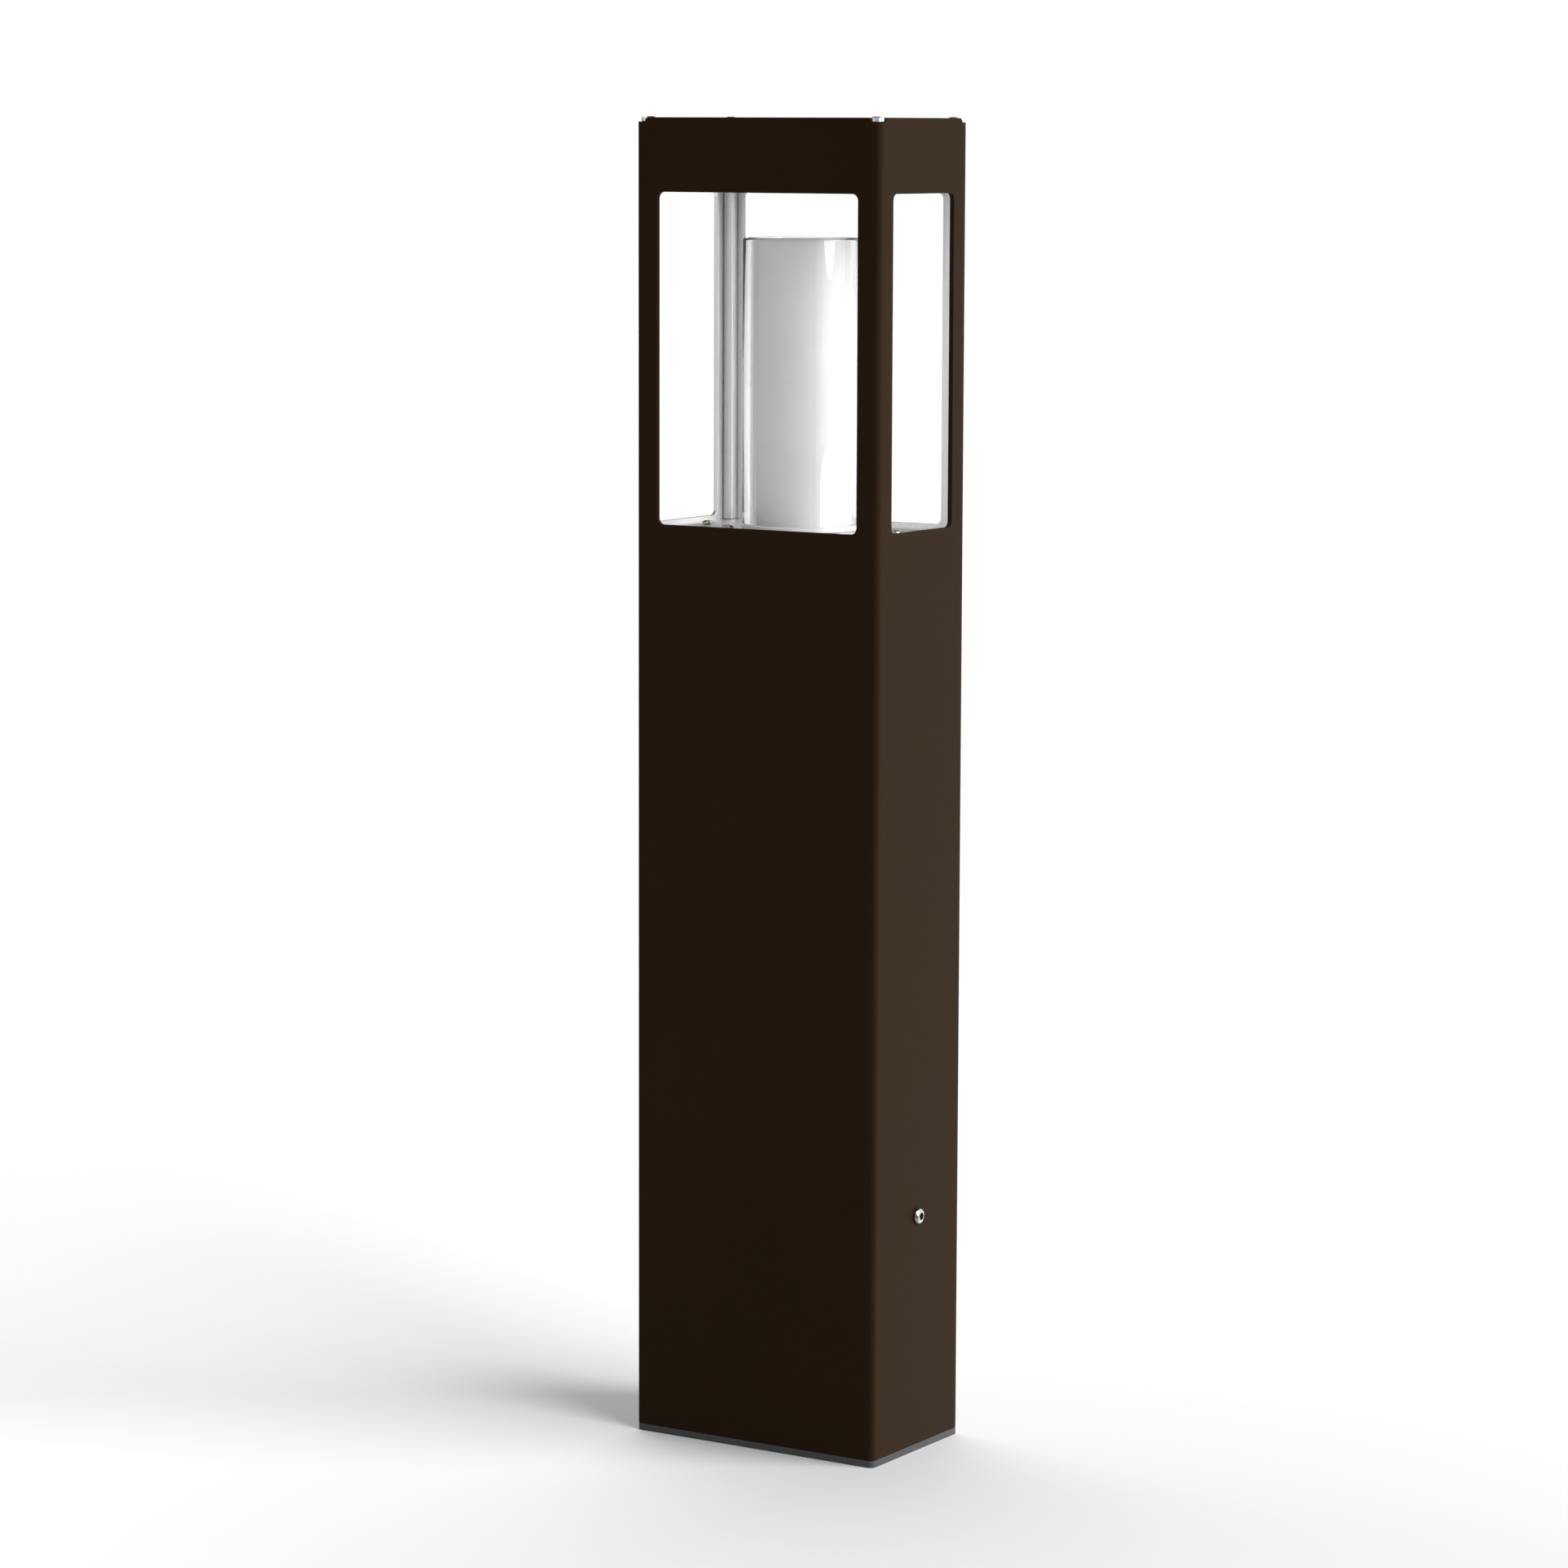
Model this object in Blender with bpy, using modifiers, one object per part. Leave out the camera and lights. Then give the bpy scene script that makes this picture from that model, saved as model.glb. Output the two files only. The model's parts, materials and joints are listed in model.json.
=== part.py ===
"""A rectangular bollard light for paths and gardens, as an assembly of separate pieces.

Metres, +Z up. The origin is at the middle of the footprint, on the ground. The wide faces look along
-Y (front) and +Y, the narrow faces along -X (left) and +X (right). The column holds the lantern and
lifts off the anchor, the lid and the glass lift off the column, and the lamp turns in its holder.
"""

import math

import bmesh
import bpy
from mathutils import Matrix, Vector

MM = 0.001
GAP = 0.3 * MM  # kept between pieces that touch on the real object

# Outside of the object
HEIGHT = 800 * MM
WIDTH = 170 * MM
DEPTH = 100 * MM
CORNER_RADIUS = 3.5 * MM
WALL = 3 * MM
BASE_STRIP = 4.5 * MM  # height of the dark strip under the column

# Lantern windows, one in each face
WINDOW_BOTTOM = 558 * MM
WINDOW_TOP = 756 * MM
WINDOW_RADIUS = 4 * MM
WIDE_MARGIN = 15 * MM  # face left beside a window in a wide face
NARROW_MARGIN = 15.5 * MM

# Lid, and the notches that its four ears fill
NOTCH_DEPTH = 2.5 * MM
NOTCH_LENGTH = 6.2 * MM
NOTCH_SLOPE = 2.6 * MM  # how far each tab's end leans back over the notch's depth
EAR_INSET = 1 * MM
EAR_RADIUS = 4.8 * MM
LID_HOLE_RADIUS = 1.9 * MM
LID_HEAD_RADIUS = 3 * MM
LID_HEAD_RISE = 0.7 * MM  # how far a lid screw stands above the lid

# Posts, shelf and its supports
POST = 6 * MM
SHELF_TOP = 555 * MM
SHELF_THICKNESS = 2 * MM
SHELF_SCREW_X = 67 * MM
SHELF_HOLE_RADIUS = 2.2 * MM
BRACKET_THICKNESS = 2 * MM

# Glass and lamp, all on the column's axis
GLASS_RADIUS = 35 * MM
GLASS_TOP = 729 * MM
GLASS_WALL = 4.3 * MM
GLASS_GASKET = 3 * MM
OPAL_WALL = 1.6 * MM
OPAL_DROP = 0.8 * MM  # how far the opal sleeve's top lies under the glass's rim
LAMP_RADIUS = 22.5 * MM
LAMP_TOP = 688 * MM
HOLDER_TOP = 597 * MM
CAP_RADIUS = 13.1 * MM
HOLDER_SCREW_X = 17.5 * MM
HOLDER_HOLE_RADIUS = 1.9 * MM

# Side screws and the anchor that they clamp to
SIDE_SCREW_Z = 145 * MM
SIDE_SCREW_RADIUS = 2.5 * MM
SIDE_HEAD_RADIUS = 4.9 * MM
SIDE_HEAD_HEIGHT = 2.8 * MM
SIDE_SOCKET = 4 * MM  # across flats
ARM_TOP = 175 * MM
ARM_THICKNESS = 3 * MM
ARM_WIDTH = 44 * MM
FOOT_LENGTH = 30 * MM
ANCHOR_THICKNESS = 4 * MM
CABLE_HOLE_RADIUS = 20 * MM
ARM_HOLE_RADIUS = 3.3 * MM

# Terminal box under the shelf
BOX_SIZE = Vector((90, 38, 70)) * MM
BOX_CENTRE = Vector((0, 8, 455)) * MM
BOX_SIDE_WALL = 8 * MM
BOX_END_WALL = 7 * MM
BOX_BACK = 2.5 * MM
BOX_SEAL = 1.2 * MM
BOX_LID = 3 * MM
GLAND_X = 20 * MM
LEAD_RADIUS = 3 * MM
LEAD_CLEARANCE = 0.5 * MM
EARTH_LEAD_RADIUS = 1.3 * MM
EARTH_STUD = Vector((-40, -18, 0)) * MM
EARTH_HOLE_RADIUS = 2.3 * MM
BOX_HOLE_RADIUS = 1.8 * MM

INNER_X = WIDTH / 2 - WALL
INNER_Y = DEPTH / 2 - WALL
RIM = HEIGHT - NOTCH_DEPTH
SHELF_UNDER = SHELF_TOP - SHELF_THICKNESS
POST_X = INNER_X - GAP - POST / 2
POST_Y = INNER_Y - GAP - POST / 2

for old in list(bpy.data.objects):
    bpy.data.objects.remove(old, do_unlink=True)
PARTS = bpy.data.collections.new("bollard_light")
CUTTERS = bpy.data.collections.new("cutters")
CUTTERS.hide_render = True
bpy.context.scene.collection.children.link(PARTS)
bpy.context.scene.collection.children.link(CUTTERS)


# ---------------------------------------------------------------- materials


def material(name, colour, roughness, metallic=0.0, transmission=0.0):
    """A Principled material, made once and then reused by name."""
    found = bpy.data.materials.get(name)
    if found:
        return found
    made = bpy.data.materials.new(name)
    made.use_nodes = True
    shader = made.node_tree.nodes["Principled BSDF"]
    shader.inputs["Base Color"].default_value = (*colour, 1)
    shader.inputs["Roughness"].default_value = roughness
    shader.inputs["Metallic"].default_value = metallic
    shader.inputs["Transmission Weight"].default_value = transmission
    return made


def brown_paint():
    return material("brown_powder_coat", (0.045, 0.03, 0.022), 0.55)


def bare_aluminium():
    return material("bare_aluminium", (0.72, 0.73, 0.74), 0.38, metallic=1)


def stainless():
    return material("stainless_steel", (0.66, 0.66, 0.65), 0.22, metallic=1)


def galvanised():
    return material("galvanised_steel", (0.5, 0.52, 0.54), 0.5, metallic=1)


def dark_rubber():
    return material("dark_rubber", (0.03, 0.03, 0.032), 0.8)


def pale_silicone():
    return material("pale_silicone", (0.7, 0.7, 0.68), 0.6)


def clear_glass():
    return material("clear_glass", (0.95, 0.97, 0.97), 0.03, transmission=1)


def opal_glass():
    return material("opal_glass", (0.9, 0.9, 0.88), 0.5)


def ceramic():
    return material("glazed_ceramic", (0.85, 0.83, 0.78), 0.25)


def nickelled_brass():
    return material("nickelled_brass", (0.7, 0.66, 0.55), 0.3, metallic=1)


def white_plastic():
    return material("white_plastic", (0.85, 0.85, 0.84), 0.4)


def black_plastic():
    return material("black_plastic", (0.02, 0.02, 0.02), 0.45)


def grey_plastic():
    return material("grey_plastic", (0.42, 0.43, 0.44), 0.5)


def cable_jacket():
    return material("cable_jacket", (0.03, 0.03, 0.03), 0.6)


def earth_sleeve():
    return material("earth_sleeve", (0.3, 0.5, 0.04), 0.5)


# ------------------------------------------------------------ shape helpers


def arc(centre, radius, start, end, steps):
    """Points on an arc, angles in degrees, both ends included."""
    turns = [math.radians(start + (end - start) * i / steps) for i in range(steps + 1)]
    return [(centre[0] + radius * math.cos(a), centre[1] + radius * math.sin(a)) for a in turns]


def circle(centre, radius, sides=16):
    return arc(centre, radius, 0, 360, sides)[:-1]


def hexagon(across_flats, centre=(0, 0)):
    return circle(centre, across_flats / math.sqrt(3), 6)


def rounded_rectangle(width, height, radius, centre=(0, 0), steps=4):
    """Four corner arcs, anticlockwise from the lower left."""
    points = []
    for sign_x, sign_y, start in ((-1, -1, 180), (1, -1, 270), (1, 1, 0), (-1, 1, 90)):
        corner = (
            centre[0] + sign_x * (width / 2 - radius),
            centre[1] + sign_y * (height / 2 - radius),
        )
        points += arc(corner, radius, start, start + 90, steps)
    return points


def slot(length, radius, centre, steps=6):
    """A slot with round ends that runs along X."""
    half = length / 2 - radius
    right = arc((centre[0] + half, centre[1]), radius, -90, 90, steps)
    return right + arc((centre[0] - half, centre[1]), radius, 90, 270, steps)


def new_object(name, mesh, finish):
    """Links a mesh to the parts, or to the cutters when it has no finish."""
    made = bpy.data.objects.new(name, mesh)
    if finish is None:
        CUTTERS.objects.link(made)
        made.hide_render = True
        made.display_type = "WIRE"
        return made
    PARTS.objects.link(made)
    mesh.materials.clear()
    mesh.materials.append(finish)
    return made


def prism(name, loops, bottom, top, finish=None):
    """A flat outline with holes, extruded along Z from bottom to top."""
    curve = bpy.data.curves.new(name, "CURVE")
    curve.dimensions = "2D"
    curve.fill_mode = "BOTH"
    curve.extrude = (top - bottom) / 2
    for loop in loops:
        spline = curve.splines.new("POLY")
        spline.points.add(len(loop) - 1)
        for point, place in zip(spline.points, loop):
            point.co = (place[0], place[1], 0, 1)
        spline.use_cyclic_u = True
    guide = bpy.data.objects.new(name + "_outline", curve)
    bpy.context.scene.collection.objects.link(guide)
    graph = bpy.context.evaluated_depsgraph_get()
    mesh = bpy.data.meshes.new_from_object(guide.evaluated_get(graph))
    bpy.data.objects.remove(guide, do_unlink=True)
    weld(mesh)
    mesh.name = name
    mesh.transform(Matrix.Translation((0, 0, (top + bottom) / 2)))
    return new_object(name, mesh, finish)


def weld(mesh):
    """Joins the loose caps of a converted curve to its sides, with normals out."""
    shape = bmesh.new()
    shape.from_mesh(mesh)
    bmesh.ops.remove_doubles(shape, verts=shape.verts, dist=1e-6)
    bmesh.ops.recalc_face_normals(shape, faces=shape.faces)
    shape.to_mesh(mesh)
    shape.free()


def block(name, low, high, finish=None, bevel=0.0):
    """A box between two opposite corners."""
    shape = bmesh.new()
    bmesh.ops.create_cube(shape, size=1)
    size = Vector(high) - Vector(low)
    middle = (Vector(high) + Vector(low)) / 2
    bmesh.ops.transform(
        shape, matrix=Matrix.Translation(middle) @ Matrix.Diagonal((*size, 1)), verts=shape.verts
    )
    mesh = bpy.data.meshes.new(name)
    shape.to_mesh(mesh)
    shape.free()
    made = new_object(name, mesh, finish)
    if bevel:
        edge = made.modifiers.new("rounded_edges", "BEVEL")
        edge.width = bevel
        edge.segments = 2
    return made


def turned(name, profile, finish=None, steps=20, closed=False):
    """A profile of (radius, z), down its outer side, turned round the Z axis."""
    mesh = bpy.data.meshes.new(name)
    edges = [(i, i + 1) for i in range(len(profile) - 1)]
    if closed:
        edges.append((len(profile) - 1, 0))
    mesh.from_pydata([(radius, 0, z) for radius, z in profile], edges, [])
    made = new_object(name, mesh, finish)
    screw = made.modifiers.new("turn", "SCREW")
    screw.axis = "Z"
    screw.steps = steps
    screw.render_steps = steps
    screw.use_merge_vertices = True
    screw.merge_threshold = 1e-6
    return made


def tube(name, points, radius, finish):
    """A round cable through the given points, with filled ends."""
    curve = bpy.data.curves.new(name, "CURVE")
    curve.dimensions = "3D"
    curve.bevel_depth = radius
    curve.bevel_resolution = 2
    curve.use_fill_caps = True
    spline = curve.splines.new("POLY")
    spline.points.add(len(points) - 1)
    for point, place in zip(spline.points, points):
        point.co = (*place, 1)
    made = bpy.data.objects.new(name, curve)
    PARTS.objects.link(made)
    curve.materials.append(finish)
    return made


def cut(target, *cutters):
    for cutter in cutters:
        boolean = target.modifiers.new(cutter.name, "BOOLEAN")
        boolean.operation = "DIFFERENCE"
        boolean.object = cutter


def join(target, other):
    boolean = target.modifiers.new(other.name, "BOOLEAN")
    boolean.operation = "UNION"
    boolean.object = other


def turn_to(obj, location, axis):
    """Places an object so that its own Z runs along the given axis."""
    turn = Vector((0, 0, 1)).rotation_difference(Vector(axis))
    obj.matrix_world = Matrix.Translation(location) @ turn.to_matrix().to_4x4()
    return obj


def smooth_path(knots, per_span=5):
    """A Catmull-Rom curve through the knots."""
    padded = [knots[0], *knots, knots[-1]]
    points = []
    for i in range(len(knots) - 1):
        a, b, c, d = (Vector(padded[i + k]) for k in range(4))
        for step in range(per_span):
            t = step / per_span
            square = (2 * a - 5 * b + 4 * c - d) * t**2
            cube = (3 * b - a - 3 * c + d) * t**3
            points.append(0.5 * (2 * b + (c - a) * t + square + cube))
    points.append(Vector(knots[-1]))
    return points


def frame_empty(name, location, parent=None):
    """An empty on a joint's axis, which carries the pieces that move together."""
    empty = bpy.data.objects.new(name, None)
    empty.empty_display_size = 0.02
    PARTS.objects.link(empty)
    empty.location = location
    if parent:
        attach(empty, parent)
    return empty


def attach(child, parent):
    bpy.context.view_layer.update()
    child.parent = parent
    child.matrix_parent_inverse = parent.matrix_world.inverted()


# -------------------------------------------------------- ground and anchor


GROUND_SLOTS = [(x * 38 * MM, y * 33 * MM) for x in (-1, 1) for y in (-1, 1)]
ARM_BOLTS = [(x * 62 * MM, y * 14 * MM) for x in (-1, 1) for y in (-1, 1)]


def base_gasket():
    """The dark strip: a rubber sheet under the column's edge and the anchor plate."""
    loops = [
        rounded_rectangle(WIDTH, DEPTH, CORNER_RADIUS),
        circle((0, 0), CABLE_HOLE_RADIUS + 2 * MM, 24),
    ]
    loops += [slot(20 * MM, 5.5 * MM, place) for place in GROUND_SLOTS]
    return prism("base_gasket", loops, 0, BASE_STRIP - GAP, dark_rubber())


def anchor_plate():
    """A steel plate bolted to the ground through four slots."""
    width = 2 * (INNER_X - GAP)
    depth = 2 * (INNER_Y - GAP)
    loops = [rounded_rectangle(width, depth, 2 * MM, steps=2), circle((0, 0), CABLE_HOLE_RADIUS, 24)]
    loops += [slot(18 * MM, 4.5 * MM, place) for place in GROUND_SLOTS]
    loops += [circle(place, ARM_HOLE_RADIUS, 12) for place in ARM_BOLTS]
    return prism("anchor_plate", loops, BASE_STRIP, BASE_STRIP + ANCHOR_THICKNESS, galvanised())


def anchor_arm(side):
    """An angle whose upright leg has an open slot for the side screw to drop into."""
    name = "anchor_arm_left" if side < 0 else "anchor_arm_right"
    foot_bottom = BASE_STRIP + ANCHOR_THICKNESS + GAP
    outer = INNER_X - GAP
    profile = [
        (outer, foot_bottom),
        (outer, ARM_TOP),
        (outer - ARM_THICKNESS, ARM_TOP),
        (outer - ARM_THICKNESS, foot_bottom + ARM_THICKNESS),
        (outer - FOOT_LENGTH, foot_bottom + ARM_THICKNESS),
        (outer - FOOT_LENGTH, foot_bottom),
    ]
    arm = prism(name, [profile], -ARM_WIDTH / 2, ARM_WIDTH / 2, galvanised())
    stand = Matrix(((side, 0, 0, 0), (0, 0, -side, 0), (0, 1, 0, 0), (0, 0, 0, 1)))
    arm.data.transform(stand)
    half = SIDE_SCREW_RADIUS + 0.7 * MM
    keyway = arc((0, SIDE_SCREW_Z), half, 180, 360, 8) + [(half, ARM_TOP + half), (-half, ARM_TOP + half)]
    groove = prism(name + "_slot", [keyway], -2 * ARM_THICKNESS, 2 * ARM_THICKNESS)
    groove.data.transform(Matrix(((0, 0, 1, side * outer), (1, 0, 0, 0), (0, 1, 0, 0), (0, 0, 0, 1))))
    cut(arm, groove)
    for index, place in enumerate(ARM_BOLTS):
        if place[0] * side > 0:
            hole = circle(place, ARM_HOLE_RADIUS, 12)
            cut(arm, prism(f"{name}_hole_{index}", [hole], 0, foot_bottom + 2 * ARM_THICKNESS))
    return arm


def arm_bolt(index, place):
    """A hexagon bolt that holds an arm's foot to the plate."""
    seat = BASE_STRIP + ANCHOR_THICKNESS + GAP + ARM_THICKNESS + GAP
    head = prism(f"arm_bolt_{index}", [hexagon(10 * MM, place)], seat, seat + 4 * MM, stainless())
    shank = prism(
        f"arm_bolt_{index}_shank", [circle(place, 3 * MM, 12)], BASE_STRIP + 0.5 * MM, seat + 2 * MM
    )
    join(head, shank)
    return head


# -------------------------------------------------------------------- column


def tab_notch(sign_x, sign_y):
    """A corner notch in the top edge, wider at the top where the tabs lean back."""
    name = f"notch_{'l' if sign_x < 0 else 'r'}{'f' if sign_y < 0 else 'b'}"
    spare = 4 * MM
    low = Vector((WIDTH / 2 - NOTCH_LENGTH, DEPTH / 2 - NOTCH_LENGTH, RIM))
    high = Vector((WIDTH / 2 + spare, DEPTH / 2 + spare, HEIGHT + spare))
    notch = block(name, low, high)
    lean = NOTCH_SLOPE / NOTCH_DEPTH * (spare + NOTCH_DEPTH)
    for vertex in notch.data.vertices:
        if vertex.co.z > HEIGHT:
            vertex.co.x -= lean if vertex.co.x < WIDTH / 2 else 0
            vertex.co.y -= lean if vertex.co.y < DEPTH / 2 else 0
        vertex.co.x *= sign_x
        vertex.co.y *= sign_y
    if sign_x * sign_y < 0:
        notch.data.flip_normals()
    return notch


def column_shell():
    """The rectangular tube with its four windows, screw holes and top tabs."""
    outer = rounded_rectangle(WIDTH, DEPTH, CORNER_RADIUS)
    inner = rounded_rectangle(2 * INNER_X, 2 * INNER_Y, 0.8 * MM, steps=2)
    shell = prism("column_shell", [outer, inner], BASE_STRIP, HEIGHT, brown_paint())
    height = WINDOW_TOP - WINDOW_BOTTOM
    middle = (0, (WINDOW_TOP + WINDOW_BOTTOM) / 2)
    wide = rounded_rectangle(WIDTH - 2 * WIDE_MARGIN, height, WINDOW_RADIUS, middle)
    narrow = rounded_rectangle(DEPTH - 2 * NARROW_MARGIN, height, WINDOW_RADIUS, middle)
    front_back = prism("windows_front_back", [wide], -DEPTH, DEPTH)
    front_back.data.transform(Matrix.Rotation(math.radians(90), 4, "X"))
    left_right = prism("windows_left_right", [narrow], -WIDTH, WIDTH)
    left_right.data.transform(
        Matrix.Rotation(math.radians(90), 4, "Z") @ Matrix.Rotation(math.radians(90), 4, "X")
    )
    screw_hole = prism("side_screw_holes", [circle((0, 0), SIDE_SCREW_RADIUS + 0.4 * MM)], -WIDTH, WIDTH)
    turn_to(screw_hole, (0, 0, SIDE_SCREW_Z), (1, 0, 0))
    cut(shell, front_back, left_right, screw_hole)
    cut(shell, *(tab_notch(x, y) for x in (-1, 1) for y in (-1, 1)))
    return shell


def corner_post(name, sign_x, sign_y):
    """A square bar in a corner of the lantern, with a screw port along it."""
    low = Vector((POST_X - POST / 2, POST_Y - POST / 2, SHELF_TOP + GAP))
    high = Vector((POST_X + POST / 2, POST_Y + POST / 2, RIM))
    x = sorted((sign_x * low.x, sign_x * high.x))
    y = sorted((sign_y * low.y, sign_y * high.y))
    post = block(name, (x[0], y[0], low.z), (x[1], y[1], high.z), bare_aluminium())
    port = [circle((sign_x * POST_X, sign_y * POST_Y), LID_HOLE_RADIUS, 12)]
    cut(post, prism(name + "_port", port, RIM - 16 * MM, RIM + 2 * MM))
    return post


def shelf_plate():
    """The floor of the lantern: it carries the posts, the glass and the lampholder."""
    loops = [
        rounded_rectangle(2 * (INNER_X - GAP), 2 * (INNER_Y - GAP), 0.8 * MM, steps=2),
        circle((0, 0), 7 * MM, 20),
    ]
    loops += [circle((x * SHELF_SCREW_X, 0), SHELF_HOLE_RADIUS, 12) for x in (-1, 1)]
    loops += [circle((x * HOLDER_SCREW_X, 0), HOLDER_HOLE_RADIUS, 12) for x in (-1, 1)]
    loops.append(circle(EARTH_STUD.xy, EARTH_HOLE_RADIUS, 12))
    return prism("shelf_plate", loops, SHELF_UNDER, SHELF_TOP, bare_aluminium())


def shelf_bracket(side):
    """An angle on the narrow wall that the shelf is screwed down to."""
    name = "shelf_bracket_left" if side < 0 else "shelf_bracket_right"
    top = SHELF_UNDER - GAP
    outer = INNER_X - GAP
    profile = [
        (outer, top - 20 * MM),
        (outer, top),
        (outer - 22 * MM, top),
        (outer - 22 * MM, top - BRACKET_THICKNESS),
        (outer - BRACKET_THICKNESS, top - BRACKET_THICKNESS),
        (outer - BRACKET_THICKNESS, top - 20 * MM),
    ]
    bracket = prism(name, [profile], -24 * MM, 24 * MM, bare_aluminium())
    stand = Matrix(((side, 0, 0, 0), (0, 0, -side, 0), (0, 1, 0, 0), (0, 0, 0, 1)))
    bracket.data.transform(stand)
    hole = circle((side * SHELF_SCREW_X, 0), SHELF_HOLE_RADIUS, 12)
    cut(bracket, prism(name + "_hole", [hole], top - 2 * BRACKET_THICKNESS, top + BRACKET_THICKNESS))
    return bracket


def pan_screw(name, x, y, seat, head_radius, head_height, shank_radius, length, finish):
    """A screw with a low domed head, pointing down from its seat."""
    edge = head_height * 0.35
    profile = [
        (0, seat + head_height),
        (head_radius * 0.55, seat + head_height * 0.94),
        (head_radius * 0.85, seat + head_height * 0.7),
        (head_radius, seat + edge),
        (head_radius, seat),
        (shank_radius, seat),
        (shank_radius, seat - length),
        (0, seat - length),
    ]
    screw = turned(name, profile, finish, steps=12)
    screw.location = (x, y, 0)
    return screw


def shelf_screw(side):
    name = "shelf_screw_left" if side < 0 else "shelf_screw_right"
    x = side * SHELF_SCREW_X
    return pan_screw(name, x, 0, SHELF_TOP + GAP, 2.9 * MM, 2.2 * MM, 1.8 * MM, 8 * MM, stainless())


def side_screw(side):
    """A button-head screw with a hexagon socket, through the narrow wall."""
    name = "side_screw_left" if side < 0 else "side_screw_right"
    top = SIDE_HEAD_HEIGHT
    profile = [
        (0, top),
        (SIDE_HEAD_RADIUS * 0.5, top),
        (SIDE_HEAD_RADIUS * 0.74, top * 0.88),
        (SIDE_HEAD_RADIUS * 0.9, top * 0.62),
        (SIDE_HEAD_RADIUS, top * 0.25),
        (SIDE_HEAD_RADIUS, 0),
        (SIDE_SCREW_RADIUS, 0),
        (SIDE_SCREW_RADIUS, -14 * MM),
        (0, -14 * MM),
    ]
    screw = turned(name, profile, stainless(), steps=20)
    socket = prism(name + "_socket", [hexagon(SIDE_SOCKET)], top - 2 * MM, top + 1 * MM)
    place = (side * (WIDTH / 2 + GAP), 0, SIDE_SCREW_Z)
    turn_to(screw, place, (side, 0, 0))
    turn_to(socket, place, (side, 0, 0))
    cut(screw, socket)
    return screw


def clamp_nut(side):
    """The hexagon nut that draws the wall and the arm together."""
    name = "clamp_nut_left" if side < 0 else "clamp_nut_right"
    bore = circle((0, 0), SIDE_SCREW_RADIUS + GAP)
    nut = prism(name, [hexagon(8 * MM), bore], -4 * MM, 0, stainless())
    face = INNER_X - GAP - ARM_THICKNESS - GAP
    return turn_to(nut, (side * face, 0, SIDE_SCREW_Z), (side, 0, 0))


# ------------------------------------------------------------------- lantern


SEAT_TOP = SHELF_TOP + 8 * MM
GLASS_BOTTOM = SHELF_TOP + GAP + GLASS_GASKET + GAP


def ring(name, inner, outer, bottom, top, finish, steps=24):
    profile = [(outer, top), (outer, bottom), (inner, bottom), (inner, top)]
    return turned(name, profile, finish, steps, closed=True)


def glass_gasket():
    outer = GLASS_RADIUS + 0.5 * MM
    inner = GLASS_RADIUS - GLASS_WALL - 2.6 * MM
    return ring("glass_gasket", inner, outer, SHELF_TOP + GAP, GLASS_BOTTOM - GAP, pale_silicone(), 32)


def glass_seat():
    """A low ring on the shelf that centres the glass."""
    outer = GLASS_RADIUS - GLASS_WALL - 2.9 * MM
    return ring("glass_seat", outer - 2.5 * MM, outer, SHELF_TOP + GAP, SEAT_TOP, bare_aluminium())


def diffuser_glass():
    """The clear outer cylinder, a plain tube with a fire-polished rim."""
    radius = GLASS_RADIUS
    inner = radius - GLASS_WALL
    edge = 1.2 * MM
    profile = arc((radius - edge, GLASS_TOP - edge), edge, 90, 0, 3)
    profile += [(radius, GLASS_BOTTOM), (inner, GLASS_BOTTOM), (inner, GLASS_TOP)]
    return turned("diffuser_glass", profile, clear_glass(), steps=40, closed=True)


def diffuser_opal():
    """The opal sleeve inside the clear glass, closed at the top."""
    outer = GLASS_RADIUS - GLASS_WALL - GAP
    inner = outer - OPAL_WALL
    top = GLASS_TOP - OPAL_DROP
    edge = 1.2 * MM
    profile = [(0, top)] + arc((outer - edge, top - edge), edge, 90, 0, 3)
    profile += [(outer, GLASS_BOTTOM), (inner, GLASS_BOTTOM)]
    profile += [(inner, top - OPAL_WALL), (0, top - OPAL_WALL)]
    return turned("diffuser_opal", profile, opal_glass(), steps=32)


def lampholder_bracket():
    """A steel strip that holds the lampholder to the shelf."""
    loops = [rounded_rectangle(44 * MM, 23 * MM, 3 * MM, steps=3), circle((0, 0), 10 * MM, 20)]
    loops += [circle((x * HOLDER_SCREW_X, 0), HOLDER_HOLE_RADIUS, 12) for x in (-1, 1)]
    bottom = SHELF_TOP + GAP
    return prism("lampholder_bracket", loops, bottom, bottom + BRACKET_THICKNESS, galvanised())


def lampholder_screw(side):
    name = "lampholder_screw_left" if side < 0 else "lampholder_screw_right"
    seat = SHELF_TOP + GAP + BRACKET_THICKNESS + GAP
    x = side * HOLDER_SCREW_X
    return pan_screw(name, x, 0, seat, 2.8 * MM, 1.8 * MM, 1.5 * MM, 7 * MM, stainless())


HOLDER_BOTTOM = SHELF_TOP + GAP + BRACKET_THICKNESS + GAP
HOLDER_FLOOR = HOLDER_BOTTOM + 9 * MM
HOLDER_BORE = 14.6 * MM


def lampholder_body():
    """The ceramic body: a narrow foot, a wide skirt, and a bore for the cap."""
    foot = 12 * MM
    skirt = 20.5 * MM
    profile = [
        (HOLDER_BORE, HOLDER_TOP),
        (skirt - 1.5 * MM, HOLDER_TOP),
        (skirt, HOLDER_TOP - 1.5 * MM),
        (skirt, HOLDER_BOTTOM + 10 * MM),
        (foot, HOLDER_BOTTOM + 4.5 * MM),
        (foot, HOLDER_BOTTOM),
        (LEAD_RADIUS + LEAD_CLEARANCE, HOLDER_BOTTOM),
        (LEAD_RADIUS + LEAD_CLEARANCE, HOLDER_FLOOR),
        (HOLDER_BORE, HOLDER_FLOOR),
    ]
    return turned("lampholder_body", profile, ceramic(), closed=True)


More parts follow.
